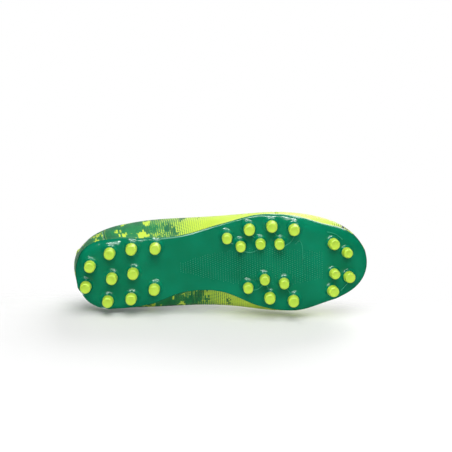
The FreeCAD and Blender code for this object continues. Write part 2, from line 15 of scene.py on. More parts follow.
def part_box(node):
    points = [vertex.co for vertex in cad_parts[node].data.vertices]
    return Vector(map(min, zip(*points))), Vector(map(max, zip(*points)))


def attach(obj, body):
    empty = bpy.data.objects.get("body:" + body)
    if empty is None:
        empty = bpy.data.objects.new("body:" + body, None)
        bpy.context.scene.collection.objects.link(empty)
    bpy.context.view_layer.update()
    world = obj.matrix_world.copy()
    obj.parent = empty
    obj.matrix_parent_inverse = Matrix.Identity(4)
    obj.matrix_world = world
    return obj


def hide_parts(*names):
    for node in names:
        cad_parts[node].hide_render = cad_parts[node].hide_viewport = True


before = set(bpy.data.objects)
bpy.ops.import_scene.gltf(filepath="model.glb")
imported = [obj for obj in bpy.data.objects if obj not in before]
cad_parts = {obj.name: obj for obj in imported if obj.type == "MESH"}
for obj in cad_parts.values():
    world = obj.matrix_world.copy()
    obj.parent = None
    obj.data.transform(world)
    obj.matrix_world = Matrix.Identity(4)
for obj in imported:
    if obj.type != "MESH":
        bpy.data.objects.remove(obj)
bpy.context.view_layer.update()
MM = 0.001
SHIFT = Vector((0.57, 5.75, 0.0))          # from the last's own middle to the middle of the boot, in mm
scene = bpy.context.scene

# %% [markdown]
# ## Camera
# The boot lies on its medial side with the sole to the camera, so in the boot's own frame the camera is
# below it. It looks up at the sole and leans 15 degrees to the lateral side, with the toe to the right.

# %% Camera
ROLL, LEAN = math.radians(1.79), math.radians(15.0)
VIEW_DISTANCE = 1200.0
right = Vector((math.cos(ROLL), math.sin(ROLL), 0))
up = Vector((math.cos(LEAN) * math.sin(ROLL), -math.cos(LEAN) * math.cos(ROLL), math.sin(LEAN)))
back = right.cross(up)
aim = Vector((7.06, -47.17, 12.0)) + SHIFT
camera_data = bpy.data.cameras.new("camera")
camera_data.lens, camera_data.sensor_width = 99.82, 36.0
camera = bpy.data.objects.new("camera", camera_data)
scene.collection.objects.link(camera)
turn = Matrix((right, up, back)).transposed().to_4x4()
camera.matrix_world = Matrix.Translation((aim + back * VIEW_DISTANCE) * MM) @ turn
camera_data.clip_start, camera_data.clip_end = 0.05, 60
scene.camera = camera
print("camera at", [round(v, 3) for v in camera.location])

# %% [markdown]
# ## The last
# A boot is pulled over a last, a solid foot shape, and every soft piece takes its form from it. The last is
# one B-spline surface for each side, with seven rows of poles from the feather edge at the sole up to the
# spine of the instep. The numbers are the boot's pattern measures in millimetres. An angle runs round each
# row from 0 at the toe to 180 at the heel, and x follows its cosine, which keeps toe and heel round.

# %% Pattern measures of the sole and the last
TOE_END, HEEL_END = 144.2, -141.3
PLATE_THICK, RIM_THICK, UPPER_GAP = 2.4, 1.6, 0.65
SOLE_WIDTH = {
    "lateral": [74, 71, 69, 62, 62.5, 59, 48, 40, 42.5, 51.5, 65, 77, 73],
    "medial": [68, 63.5, 56, 50, 48, 37, 20.5, 20, 35, 48.5, 64, 73.5, 70],
}
LAST_ROWS = {
    "low": dict(ends=(143.8, -142.5), lateral=[66, 67.5, 59.5, 46.5, 42, 60, 66],
                medial=[61, 54, 53.5, 36.5, 45, 62.5, 66], height=[8, 9, 11.5, 12, 13, 12, 12]),
    "wall": dict(ends=(146.0, -145.5), lateral=[64, 70, 63, 51.5, 52, 63.5, 66],
                 medial=[58, 53, 53, 44.5, 47, 61.5, 66], height=[13, 17, 22, 26, 27, 25, 25]),
    "shoulder": dict(ends=(136.5, -146.5), lateral=[50, 50.5, 52, 41, 51.5, 57, 62],
                     medial=[44, 43, 41.5, 39, 42, 56, 62], height=[19, 25, 37, 48, 50, 46, 44]),
    "top": dict(ends=(119, -140.5), lateral=[26, 25, 26.5, 25, 30.5, 48, 54],
                medial=[22, 21, 23, 22.5, 30, 48, 54], height=[20, 29, 47, 64, 68, 66, 64]),
}
SIDE_CURVES = {
    "sole_under": [(-146, 16.2), (-132, 12.6), (-110, 11.2), (-70, 11.4), (-40, 13.4), (-10, 15.2),
                   (20, 13.2), (45, 11.3), (68, 11.2), (90, 13.6), (112, 18.6), (130, 24.2), (150, 32.0)],
    "rim_top": [(-146, 23.6), (-128, 19.7), (-95, 18.1), (-60, 15.0), (-35, 16.3), (-8, 17.7), (18, 16.1),
                (40, 15.2), (66, 17.1), (92, 20.3), (115, 25.6), (132, 30.7), (150, 37.8)],
    "spine": [(-60, 107), (-40, 94.5), (-20, 84), (0, 75), (20, 67.5), (42, 61), (65, 56), (85, 52.3),
              (103, 49.3), (122, 46.0), (140, 42.5)],
}
COLLAR_LINE = [(105, 91), (112, 82), (120, 73.5), (135, 65.5), (150, 66), (165, 72), (180, 77)]
ANKLE_ANGLE, ANKLE_HALF, ANKLE_HEIGHT = 105, 30, 100
CREST_ENDS, WELT_HEIGHT = (102.5, -134.5), 5.5
VAMP_END, HEEL_START, THROAT_TOP = 0.365, 0.815, 0.585
THROAT_HALF = (9.5, 16.5)
UPPER_THICK = 1.5
SIGN = {"lateral": -1, "medial": 1}
print("sole length in mm:", TOE_END - HEEL_END)


# %% Smooth curves through the measures
def between(step, values, at):
    """A smooth curve through evenly spaced values, level at both ends."""
    place = min(max(at / step, 0), len(values) - 1 - 1e-9)
    k = int(place)
    t = place - k
    p = [values[abs(k - 1)], values[k], values[k + 1], values[min(k + 2, 2 * len(values) - k - 4)]]
    a, b, rise = (p[2] - p[0]) / 2, (p[3] - p[1]) / 2, p[2] - p[1]
    return p[1] + a * t + (3 * rise - 2 * a - b) * t ** 2 + (a + b - 2 * rise) * t ** 3


def through(points, at):
    """The same through points at any spacing, running straight on past both ends."""
    n = len(points)
    k = max(0, min(n - 2, sum(1 for p in points[1:-1] if p[0] <= at)))

    def slope(i):
        low, high = points[max(i - 1, 0)], points[min(i + 1, n - 1)]
        return (high[1] - low[1]) / (high[0] - low[0])

    (x0, z0), (x1, z1) = points[k], points[k + 1]
    t = (at - x0) / (x1 - x0)
    if t < 0:
        return points[0][1] + slope(0) * (at - points[0][0])
    if t > 1:
        return points[-1][1] + slope(n - 1) * (at - points[-1][0])
    a, b, rise = slope(k) * (x1 - x0), slope(k + 1) * (x1 - x0), z1 - z0
    return z0 + a * t + (3 * rise - 2 * a - b) * t ** 2 + (a + b - 2 * rise) * t ** 3


def side(curve, x):
    """Height of one of the side view curves."""
    return through(SIDE_CURVES[curve], x)


def outline(where, angle, inset=0.0):
    """A point of the sole's edge in plan, moved in by inset."""
    turn = math.radians(angle)
    x = (TOE_END + HEEL_END) / 2 + ((TOE_END - HEEL_END) / 2 - inset) * math.cos(turn)
    return x, SIGN[where] * math.sin(turn) * (between(15, SOLE_WIDTH[where], angle) - inset)


def last_pole(row, where, angle):
    """One pole of the last."""
    turn = math.radians(angle)
    if row in ("feather", "welt"):
        x, y = outline(where, angle, RIM_THICK + UPPER_GAP)
        return Vector((x, y, side("sole_under", x) + PLATE_THICK + (WELT_HEIGHT if row == "welt" else 0)))
    toe, heel = CREST_ENDS if row == "crest" else LAST_ROWS[row]["ends"]
    x = (toe + heel) / 2 + (toe - heel) / 2 * math.cos(turn)
    if row == "crest":
        share = max(0.0, (angle - ANKLE_ANGLE) / (180 - ANKLE_ANGLE))
        y = SIGN[where] * ANKLE_HALF * math.sin(math.pi * share)
        return Vector((x, y, side("spine", x) if share == 0 else ANKLE_HEIGHT))
    width = between(30, LAST_ROWS[row][where], angle)
    board = side("sole_under", outline(where, angle)[0]) + PLATE_THICK
    z = board + between(30, LAST_ROWS[row]["height"], angle)
    if row == "top":
        part = min(max((ANKLE_ANGLE + 5 - angle) / 20, 0), 1)
        z = part * side("spine", x) + (1 - part) * z
    return Vector((x, SIGN[where] * math.sin(turn) * width, z))


# %% The last as a surface
ROWS = ["feather", "welt", "low", "wall", "shoulder", "top", "crest"]
COLUMNS = 25
POLES = {}
for where in SIGN:
    grid = [[last_pole(row, where, 180 * j / (COLUMNS - 1)) for row in ROWS] for j in range(COLUMNS)]
    for edge, beside in ((0, 1), (-1, -2)):
        for pole, next_pole in zip(grid[edge][:-1], grid[beside][:-1]):
            next_pole.x, next_pole.z = pole.x, pole.z
    POLES[where] = grid


@lru_cache(maxsize=None)
def weights(t, count):
    """The first pole and the four weights of a clamped cubic B-spline at t from 0 to 1."""
    spans = count - 3
    knots = [0] * 3 + [i / spans for i in range(spans + 1)] + [1] * 3
    k = min(int(t * spans), spans - 1) + 3
    made = [1.0]
    for degree in (1, 2, 3):
        grown = [0.0] * (degree + 1)
        for i, weight in enumerate(made):
            low, high = knots[k - degree + 1 + i], knots[k + 1 + i]
            share = (t - low) / (high - low)
            grown[i] += weight * (1 - share)
            grown[i + 1] += weight * share
        made = grown
    return k - 3, made


def last_point(where, u, v):
    """A point of the last: u from toe to heel, v from the feather edge to the crest."""
    (i0, wu), (j0, wv) = weights(round(u, 7), COLUMNS), weights(round(v, 7), len(ROWS))
    found = Vector((0, 0, 0))
    for i, a in enumerate(wu):
        for j, b in enumerate(wv):
            found += POLES[where][i0 + i][j0 + j] * (a * b)
    return found


def last_normal(where, u, v):
    """The outward normal of the last."""
    step = 1e-4
    du = last_point(where, min(u + step, 1), v) - last_point(where, max(u - step, 0), v)
    dv = last_point(where, u, min(v + step, 1)) - last_point(where, u, max(v - step, 0))
    if u < 1e-6:
        return Vector((dv.z, 0, -dv.x)).normalized()
    if u > 1 - 1e-6:
        return Vector((-dv.z, 0, dv.x)).normalized()
    if v > 1 - 1e-6 and u <= ANKLE_ANGLE / 180:
        return Vector((du.z, 0, -du.x)).normalized()
    return (du.cross(dv) * SIGN[where]).normalized()


def on_last(where, u, v, offset=0.0):
    """A point of the last moved out by offset mm."""
    point = last_point(where, u, v)
    return point + last_normal(where, u, v) * offset if offset else point


def solve_v(where, u, wanted, measure, low=0.0, high=1.0):
    """The v where measure(point) reaches wanted."""
    rising = measure(last_point(where, u, high)) > measure(last_point(where, u, low))
    for _ in range(22):
        middle = (low + high) / 2
        if (measure(last_point(where, u, middle)) < wanted) == rising:
            low = middle
        else:
            high = middle
    return (low + high) / 2


@lru_cache(maxsize=None)
def top_edge(where, u):
    """The v of the upper's top edge: the spine, then the throat, then the collar line."""
    if u <= VAMP_END:
        return 1.0
    if u <= THROAT_TOP:
        share = (u - VAMP_END) / (THROAT_TOP - VAMP_END)
        round_base = min(share / 0.12, 1)
        narrow, wide = THROAT_HALF
        half = narrow * math.sqrt(1 - (1 - round_base) ** 2) + (wide - narrow) * share
        return solve_v(where, u, half, lambda p: abs(p.y), 0.45, 1.0)
    return solve_v(where, u, through(COLLAR_LINE, 180 * u), lambda p: p.z)


@lru_cache(maxsize=None)
def wall_reach(where, u):
    """Millimetres of wall for a step of 1 in v, near the upper's top edge."""
    top = top_edge(where, u)
    return (last_point(where, u, top) - last_point(where, u, top - 0.02)).length / 0.02


def below_top(where, u, distance):
    """The v a set distance below the upper's top edge."""
    return top_edge(where, u) - distance / wall_reach(where, u)


print("toe box height in mm:", round(last_point("medial", 0.15, 1).z, 1))

# %% [markdown]
# ## Two ways to make a mesh
# Most pieces of a boot are sheets or strips that follow the last, so a flat grid from bmesh is laid over a
# function that gives each grid point its place, and two edges are welded where the piece closes on itself.
# Studs and eyelets are round, so those are a short profile spun about an axis. Both work in millimetres, and
# a piece is turned to metres and moved onto the boot only when it is finished.


# %% Grid and spin
def draped(x_cells, y_cells, place, uv=None):
    """A bmesh grid with each vertex at place(s, t), for s and t from 0 to 1, and its uv in metres."""
    bm = bmesh.new()
    bmesh.ops.create_grid(bm, x_segments=x_cells, y_segments=y_cells, size=0.5)
    layer = bm.loops.layers.uv.new("UVMap")
    share = {v.index: (v.co.x + 0.5, v.co.y + 0.5) for v in bm.verts}
    for face in bm.faces:
        for loop in face.loops:
            s, t = share[loop.vert.index]
            loop[layer].uv = Vector(uv(s, t) if uv else (s, t)) * (MM if uv else 1)
    for v in bm.verts:
        v.co = place(*share[v.index])
    return bm


def spun(profile, steps, ring=False):
    """A closed solid spun about Z from (radius, height) points, which end on the axis or close as a ring."""
    bm = bmesh.new()
    verts = [bm.verts.new((r, 0, z)) for r, z in profile]
    edges = [bm.edges.new(pair) for pair in zip(verts, verts[1:] + verts[:ring])]
    bmesh.ops.spin(bm, geom=verts + edges, cent=(0, 0, 0), axis=(0, 0, 1), angle=math.tau, steps=steps,
                   use_merge=True)
    bmesh.ops.remove_doubles(bm, verts=bm.verts, dist=1e-4)
    bmesh.ops.recalc_face_normals(bm, faces=bm.faces)
    return bm


def joined(parts):
    """Several bmeshes as one."""
    whole = bmesh.new()
    for part in parts:
        held = bpy.data.meshes.new("held")
        part.to_mesh(held)
        whole.from_mesh(held)
        bpy.data.meshes.remove(held)
        part.free()
    return whole


def smooth_between(p, t):
    """At t from 0 to 1 on the smooth curve from p[1] to p[2], which p[0] and p[3] lead in and out."""
    return (p[1] * 2 + (p[2] - p[0]) * t + (p[0] * 2 - p[1] * 5 + p[2] * 4 - p[3]) * t ** 2
            + (p[1] * 3 - p[0] - p[2] * 3 + p[3]) * t ** 3) / 2


STRIP_FACE = [(-0.5, -0.2), (-0.44, -0.5), (0, -0.52), (0.44, -0.5), (0.5, -0.2)]
ROUND_PER_WIDTH = 2.2                     # length round a strip's section for each mm of its width


def strip(points, usual_width, across_of, width, thick, samples):
    """A flat closed strip along points. across_of gives the way of its width, and width may vary along it."""
    count = len(points)
    section = STRIP_FACE + [(-a, -b) for a, b in STRIP_FACE]

    def curve(at):
        place = min(at, 0.99999) * (count - 1)
        k, t = int(place), place - int(place)
        p = [points[max(k - 1, 0)], points[k], points[k + 1], points[min(k + 2, count - 1)]]
        return smooth_between(p, t)

    def spot(s, t):
        along = (curve(min(s + 0.01, 1)) - curve(max(s - 0.01, 0))).normalized()
        wide = across_of(s)
        wide = (wide - along * wide.dot(along)).normalized()
        up = wide.cross(along)
        a, b = section[round(t * len(section)) % len(section)]
        return curve(s) + wide * (a * width(s)) + up * (b * thick(s))

    length = sum((curve((i + 1) / samples) - curve(i / samples)).length for i in range(samples))
    made = draped(samples, len(section), spot, lambda s, t: (length * s, ROUND_PER_WIDTH * usual_width * t))
    bmesh.ops.remove_doubles(made, verts=made.verts, dist=1e-3)
    bmesh.ops.holes_fill(made, edges=[e for e in made.edges if e.is_boundary], sides=0)
    bmesh.ops.recalc_face_normals(made, faces=made.faces)
    return made


def even(value):
    """The same value all along."""
    return lambda s: value


def piece(name, bm, body, materials, replaces=(), outward=True, weld=1e-3):
    """Welds a bmesh, turns it to metres, and makes it a piece of the boot."""
    if weld:
        bmesh.ops.remove_doubles(bm, verts=bm.verts, dist=weld)
    if outward:
        bmesh.ops.recalc_face_normals(bm, faces=bm.faces)
    for v in bm.verts:
        v.co = (v.co + SHIFT) * MM
    mesh = bpy.data.meshes.new(name)
    bm.to_mesh(mesh)
    bm.free()
    mesh.shade_smooth()
    for material in materials:
        mesh.materials.append(material)
    made = bpy.data.objects.new(name, mesh)
    scene.collection.objects.link(made)
    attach(made, body)
    if replaces:
        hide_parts(*replaces)
    print(f"{name}: {len(mesh.polygons)} faces")
    return made


def modifier(target, kind, name, **settings):
    """Adds one modifier with its settings."""
    made = target.modifiers.new(name, kind)
    for key, value in settings.items():
        setattr(made, key, value)
    return made


# %% [markdown]
# ## Materials
# Each finish is a node tree built by one helper. Patterns are measured in metres on Object coordinates, or
# on the piece's own UV map, which is in metres too, so a scale is always 1 over a real size.


# %% Node helper and colours
def colour(code):
    """An sRGB hex colour as linear RGBA."""
    channels = [int(code[i:i + 2], 16) / 255 for i in (1, 3, 5)]
    return (*[c / 12.92 if c <= 0.04045 else ((c + 0.055) / 1.055) ** 2.4 for c in channels], 1.0)


def node(tree, kind, settings=None, **inputs):
    """Adds a node. An input's name has _ for a space, or is iN for socket N. It takes a value or a link."""
    made = tree.nodes.new(kind)
    for key, value in (settings or {}).items():
        setattr(made, key, value)
    for key, value in inputs.items():
        socket = made.inputs[int(key[1:]) if key[1:].isdigit() else key.replace("_", " ")]
        if isinstance(value, bpy.types.NodeSocket):
            tree.links.new(value, socket)
        else:
            socket.default_value = value
    return made


def new_material(name, **shader):
    """A material with a principled shader. Returns it, its tree and the shader node."""
    made = bpy.data.materials.new(name)
    made.use_nodes = True
    tree = made.node_tree
    bsdf = tree.nodes["Principled BSDF"]
    for key, value in shader.items():
        bsdf.inputs[key.replace("_", " ")].default_value = value
    return made, tree, bsdf


def ramp(tree, fac, stops):
    """A colour ramp through (place, colour code) stops."""
    made = tree.nodes.new("ShaderNodeValToRGB")
    while len(made.color_ramp.elements) < len(stops):
        made.color_ramp.elements.new(0.5)
    for element, (at, code) in zip(made.color_ramp.elements, stops):
        element.position, element.color = at, colour(code)
    tree.links.new(fac, made.inputs[0])
    return made.outputs[0]


def fade(tree, value, start, stop):
    """0 at start and 1 at stop."""
    return node(tree, "ShaderNodeMapRange", Value=value, From_Min=start, From_Max=stop).outputs[0]


def clouded(tree, bsdf, size, dark, light, detail=3.0, edge=0.3):
    """Two close tones of the base colour in soft clouds of a real size. Returns the place and the cloud."""
    place = node(tree, "ShaderNodeTexCoord").outputs["Object"]
    cloud = node(tree, "ShaderNodeTexNoise", Vector=place, Scale=1 / size, Detail=detail).outputs[0]
    tree.links.new(ramp(tree, cloud, [(edge, dark), (1 - edge, light)]), bsdf.inputs["Base Color"])
    return place, cloud


def embossed(tree, bsdf, height, strength, distance, **under):
    """Relief on the surface, where distance is its real height in metres."""
    bump = node(tree, "ShaderNodeBump", Strength=strength, Distance=distance, Height=height, **under)
    tree.links.new(bump.outputs[0], bsdf.inputs["Normal"])


# %% [markdown]
# ### Emerald TPU of the plate
# The plate is injection moulded thermoplastic polyurethane: a soft gloss over a deep green. The real TPU lets
# a little light in at thin edges, which this material leaves out. A polished mould leaves faint waves, and the
# heel has a fine lined grain.

# %% Emerald moulded TPU
MOULD_WAVE, LINE_PITCH, LINES_FADE = 0.009, 0.0011, (-0.050, -0.058)
emerald_tpu, tree, bsdf = new_material("emerald_moulded_tpu", Roughness=0.2, IOR=1.5)
place, cloud = clouded(tree, bsdf, 0.03, "#007350", "#00825e")
wave = node(tree, "ShaderNodeTexNoise", Vector=place, Scale=1 / MOULD_WAVE, Detail=1.0)
lines = node(tree, "ShaderNodeTexWave", {"bands_direction": "DIAGONAL"}, Vector=place,
             Scale=math.tau / 20 / LINE_PITCH, Distortion=1.5)
along = node(tree, "ShaderNodeSeparateXYZ", Vector=place).outputs["X"]
grain = node(tree, "ShaderNodeMath", {"operation": "MULTIPLY"}, i0=lines.outputs["Fac"],
             i1=fade(tree, along, *LINES_FADE))
soft = node(tree, "ShaderNodeBump", Strength=0.10, Distance=0.0006, Height=wave.outputs[0])
embossed(tree, bsdf, grain.outputs[0], 0.35, 0.00012, Normal=soft.outputs[0])

# %% Roughened emerald of the grip dots and lines, lighter as a painted highlight
# The lighter green of the dots and raised lines is a painted highlight that stands in for their glints.
grip_tpu_painted_highlight, tree, bsdf = new_material("emerald_grip_painted_highlight", Roughness=0.35, IOR=1.5)
clouded(tree, bsdf, 0.02, "#12916c", "#2aa680")

# %% [markdown]
# ### Lime TPU of the studs
# The stud tips are a harder, brighter TPU shot onto the plate. It is satin, and the tips carry fine scuffs.

# %% Lime moulded TPU
SCUFF = 0.0016
lime_tpu, tree, bsdf = new_material("lime_moulded_tpu", Roughness=0.38, IOR=1.5, Subsurface_Weight=0.15,
                                    Subsurface_Scale=0.003)
bsdf.inputs["Subsurface Radius"].default_value = (0.7, 1.0, 0.2)
place, cloud = clouded(tree, bsdf, 0.01, "#b6db3c", "#c3e44c", 4.0)
scuff = node(tree, "ShaderNodeTexNoise", Vector=place, Scale=1 / SCUFF, Detail=5.0, Roughness=0.7)
embossed(tree, bsdf, scuff.outputs[0], 0.12, 0.0002)

# %% [markdown]
# ### Printed knit of the upper
# The upper is a lime knit with a thin clear coat, which the material gives only as a light sheen. A green
# camouflage of short horizontal strokes covers the heel and breaks up into halftone dots towards the waist,
# and a blackish one goes round the toe. The strokes are noise stretched along the boot and cut by rows of
# knit, and the dots are a regular cell pattern on the UV map whose dot size follows a slow noise, as a screen
# print's does.

# %% Printed knit
KNIT_ROW, KNIT_LOOP, DOT_PITCH, COLUMN_PITCH = 0.0011, 0.0013, 0.0021, 0.0017
HEEL_PRINT, TOE_PRINT, MEDIAL_LATER = (0.004, -0.085), (0.104, 0.128), 0.032


def printed_knit(name, ground, ground_dark):
    """The upper's knit in one ground colour, with the print where the boot has it."""
    made, tree, bsdf = new_material(name, Roughness=0.46, IOR=1.46, Sheen_Weight=0.15, Sheen_Roughness=0.4)
    coords = node(tree, "ShaderNodeTexCoord")
    where, flat = coords.outputs["Object"], coords.outputs["UV"]
    axes = node(tree, "ShaderNodeSeparateXYZ", Vector=where)

    def maths(kind, first, second, third=0.0):
        return node(tree, "ShaderNodeMath", {"operation": kind}, i0=first, i1=second, i2=third).outputs[0]

    slow = node(tree, "ShaderNodeTexNoise", Vector=where, Scale=1 / 0.03, Detail=2.0).outputs[0]
    on_flat = node(tree, "ShaderNodeSeparateXYZ", Vector=flat)
    column = maths("SNAP", on_flat.outputs["X"], COLUMN_PITCH)
    lot = node(tree, "ShaderNodeTexWhiteNoise", {"noise_dimensions": "1D"}, W=column).outputs["Value"]
    jagged = maths("MULTIPLY_ADD", lot, 0.009, on_flat.outputs["Y"])
    cell = node(tree, "ShaderNodeCombineXYZ", X=column, Y=jagged)
    patches = node(tree, "ShaderNodeTexNoise", Vector=cell.outputs[0], Scale=1 / 0.015, Detail=3.5,
                   Roughness=0.55).outputs[0]
    gaps = maths("PINGPONG", on_flat.outputs["X"], COLUMN_PITCH / 2)
    dots = node(tree, "ShaderNodeTexVoronoi", {"voronoi_dimensions": "2D"}, Vector=flat, Scale=1 / DOT_PITCH,
                Randomness=0.0).outputs["Distance"]

    medial_later = maths("MULTIPLY", maths("GREATER_THAN", axes.outputs["Y"], 0.005), MEDIAL_LATER)
    heel_share = fade(tree, maths("SUBTRACT", axes.outputs["X"], medial_later), *HEEL_PRINT)
    toe_share = maths("MULTIPLY", fade(tree, axes.outputs["X"], *TOE_PRINT), 0.85)

    def strokes(share):
        """Ragged columns of knit, more of them as share goes to 1, with a thin gap between columns."""
        level = maths("MULTIPLY_ADD", share, -0.34, 0.75)
        thread = maths("GREATER_THAN", gaps, maths("MULTIPLY_ADD", share, -0.00030, 0.00028))
        inked = maths("MULTIPLY", maths("GREATER_THAN", patches, level), thread)
        return maths("MULTIPLY", inked, maths("GREATER_THAN", share, 0.02))

    def halftone(share):
        """Dots that grow with share, only where the print fades out."""
        size = maths("MULTIPLY", maths("MULTIPLY", share, slow), 1.35)
        few = maths("MULTIPLY", maths("LESS_THAN", dots, size), maths("GREATER_THAN", share, 0.10))
        return maths("MULTIPLY", few, maths("LESS_THAN", share, 0.8))

    green = maths("MAXIMUM", strokes(heel_share), halftone(heel_share))
    black = maths("MAXIMUM", strokes(toe_share), halftone(toe_share))
    base = ramp(tree, slow, [(0.3, ground_dark), (0.7, ground)])
    ink = ramp(tree, patches, [(0.45, "#0f8a4a"), (0.75, "#04603c")])
    printed = base
    for cover, tone in ((green, ink), (black, colour("#16240e"))):
        printed = node(tree, "ShaderNodeMix", {"data_type": "RGBA"}, i0=cover, i6=printed, i7=tone).outputs[2]
    tree.links.new(printed, bsdf.inputs["Base Color"])

    loops = node(tree, "ShaderNodeTexWave", {"bands_direction": "X"}, Vector=flat,
                 Scale=math.tau / 20 / KNIT_LOOP).outputs["Fac"]
    courses = node(tree, "ShaderNodeTexWave", {"bands_direction": "Y"}, Vector=flat,
                   Scale=math.tau / 20 / KNIT_ROW, Distortion=0.4).outputs["Fac"]
    embossed(tree, bsdf, maths("MULTIPLY", loops, courses), 0.4, 0.00025)
    return made


lime_knit = printed_knit("printed_lime_knit", "#cdea4a", "#c0de38")

# %% [markdown]
# ### Lining, webbing, lace and the hidden pieces
# The lining and the collar are a spacer mesh, which shows as a grid of small holes darkened with painted
# shade.
# Laces and webbing are plain weaves, so two crossed waves on the UV map give their yarns, with painted shade
# between them. Boards and stiffeners are pressed fibre.


# %% Textiles and boards
def woven(name, light, dark, pitch, strength=0.6, depth=0.0003, **shader):
    """A plain weave: yarns of one pitch along and across the UV map, with painted shade between the yarns."""
    made, tree, bsdf = new_material(name, **{"Roughness": 0.75, "Sheen_Weight": 0.3, "IOR": 1.45, **shader})
    flat = node(tree, "ShaderNodeTexCoord").outputs["UV"]
    turned = node(tree, "ShaderNodeMapping", Vector=flat, Rotation=(0, 0, math.radians(45)))
    yarns = [node(tree, "ShaderNodeTexWave", {"bands_direction": way}, Vector=turned.outputs[0],
                  Scale=math.tau / 20 / pitch).outputs["Fac"] for way in ("X", "Y")]
    weave = node(tree, "ShaderNodeMath", {"operation": "MULTIPLY"}, i0=yarns[0], i1=yarns[1]).outputs[0]
    # The colour darkens where the yarns dip: painted shade between them.
    tree.links.new(ramp(tree, weave, [(0.0, dark), (0.6, light)]), bsdf.inputs["Base Color"])
    embossed(tree, bsdf, weave, strength, depth)
    return made


def holed_mesh(name, light, dark, pitch):
    """A spacer mesh: rows of small round holes on the UV map, darkened inside as painted shade."""
    made, tree, bsdf = new_material(name, Roughness=0.85, Sheen_Weight=0.35, IOR=1.45)
    flat = node(tree, "ShaderNodeTexCoord").outputs["UV"]
    holes = node(tree, "ShaderNodeTexVoronoi", Vector=flat, Scale=1 / pitch, Randomness=0.12)
    cells = holes.outputs["Distance"]
    # The hole centres are darker: painted shade inside each hole.
    tree.links.new(ramp(tree, cells, [(0.18, dark), (0.34, light)]), bsdf.inputs["Base Color"])
    embossed(tree, bsdf, cells, 0.7, 0.0004)
    return made


def pressed(name, light, dark, grit, roughness):
    """A pressed board or moulded stiffener with a fine grit."""
    made, tree, bsdf = new_material(name, Roughness=roughness, IOR=1.48)
    specks = clouded(tree, bsdf, grit, dark, light, 4.0, 0.35)[1]
    embossed(tree, bsdf, specks, 0.3, 0.0002)
    return made


green_lining = holed_mesh("green_spacer_mesh", "#0b8a62", "#04452f", 0.0022)
liner_cloth = holed_mesh("green_liner_mesh", "#0f9468", "#075a40", 0.0018)
lime_tongue = holed_mesh("lime_tongue_mesh", "#cdee3e", "#8fb322", 0.0026)
lace_weave = woven("green_lace_weave", "#0d9a6c", "#04603f", 0.0010)
webbing = woven("green_webbing", "#0b8a62", "#045038", 0.0014)
binding = woven("lime_binding_tape", "#c9ec3a", "#9cc42a", 0.0009, strength=0.4)
thread = woven("green_stitching_thread", "#0a8c60", "#055c3e", 0.0006, Roughness=0.55)
facing_film = pressed("lime_facing_film", "#b9dd2e", "#a9cf26", 0.0009, 0.5)
rim_metal = pressed("green_eyelet_enamel", "#0a8a60", "#087a55", 0.0012, 0.35)
fibre_board = pressed("pressed_fibre_board", "#d9d2bf", "#c4bba4", 0.0015, 0.9)
stiffener = pressed("moulded_stiffener", "#e6e6de", "#d4d4ca", 0.0012, 0.6)
foam_back = pressed("lining_backer", "#0a7a56", "#07593f", 0.0010, 0.9)
print(len(bpy.data.materials), "materials")

# %% [markdown]
# ## Sole plate
# The plate is one moulding: a flat bed round the studs, a wide rounded bevel up to a thin rim that cups the
# upper, and relief for grip. A grid is laid over the sole from edge to edge, its height at each point comes
# from the distance to the edge and to the studs, and then the whole sheet is extruded upwards in steps,
# which raises the rim, turns it inwards and lands on the plate's upper face as one closed solid.

# %% Stud places and the relief lines
STUDS = {
    "stud_heel": [(-130.2, 8.0, 5.0), (-124.9, -12.6, 5.0), (-109.6, 23.1, 5.0), (-105.3, -25.0, 5.0),
                  (-104.5, 0.1, 5.0), (-84.3, -28.7, 5.0), (-86.9, 21.2, 5.0), (-83.8, -4.3, 5.0),
                  (-64.1, 12.3, 5.0), (-61.4, -28.7, 5.0)],
    "stud_ball": [(7.7, -36.6, 4.5), (20.6, -28.1, 4.5), (26.6, 13.7, 4.5), (29.2, -44.6, 5.0),
                  (39.5, -30.1, 4.5), (42.8, 5.7, 4.5), (47.3, 24.5, 5.0), (50.7, -47.1, 5.0),
                  (57.7, -29.4, 4.5), (61.4, 10.1, 4.5), (70.1, 28.2, 5.0), (71.9, -43.2, 5.0)],
    "stud_toe": [(110.1, 21.8, 5.0), (111.3, -25.6, 5.0), (111.8, 4.4, 4.5), (124.5, -15.4, 4.5),
                 (126.4, 9.5, 5.0)],
}
LONG_LINES = [[(73, -27), (77, -30), (79.6, -25), (80.2, -11)], [(104, -37), (112, -34), (119, -28)],
           [(117, 24), (124, 17), (129, 8)]]
RIBS = [[(51.5, -41.1), (57.5, -33), (58.4, -23.6)], [(29.6, -38.7), (37, -32), (39.9, -24.3)],
        [(73, -37.2), (68, -29), (58.4, -23.6)], [(7.8, -30.8), (15, -28), (20.8, -22.4)],
        [(47.3, 29), (47, 19), (43, 10.8)], [(70.1, 32.7), (68, 23), (61.6, 15.1)],
        [(26.7, 18.5), (36, 17), (43, 10.8)], [(20.8, -22.4), (30, -20), (39.9, -24.3)]]


def smooth_step(t):
    """0 below 0, 1 above 1 and an even S between."""
    t = min(max(t, 0.0), 1.0)
    return t * t * (3 - 2 * t)


def line_distance(x, y, points):
    """Distance in plan from a point to a broken line."""
    best = 1e9
    for (x0, y0), (x1, y1) in zip(points, points[1:]):
        length = (x1 - x0) ** 2 + (y1 - y0) ** 2
        t = min(max(((x - x0) * (x1 - x0) + (y - y0) * (y1 - y0)) / length, 0), 1)
        best = min(best, math.hypot(x - x0 - t * (x1 - x0), y - y0 - t * (y1 - y0)))
    return best


edge_tree = KDTree(2 * 721)
for k in range(721):
    for n, where in enumerate(SIGN):
        edge_tree.insert(Vector((*outline(where, k / 4), 0)), 2 * k + n)
edge_tree.balance()
all_studs = [place for group in STUDS.values() for place in group]
print(len(all_studs), "studs")

# %% Height of the sole
EDGE_WALL, BEVEL_WIDTH, PAD_MARGIN, PAD_BLEND = 2.0, 10.0, 3.0, 4.0
RIB_HEIGHT, RIB_HALF = 0.4, 1.6


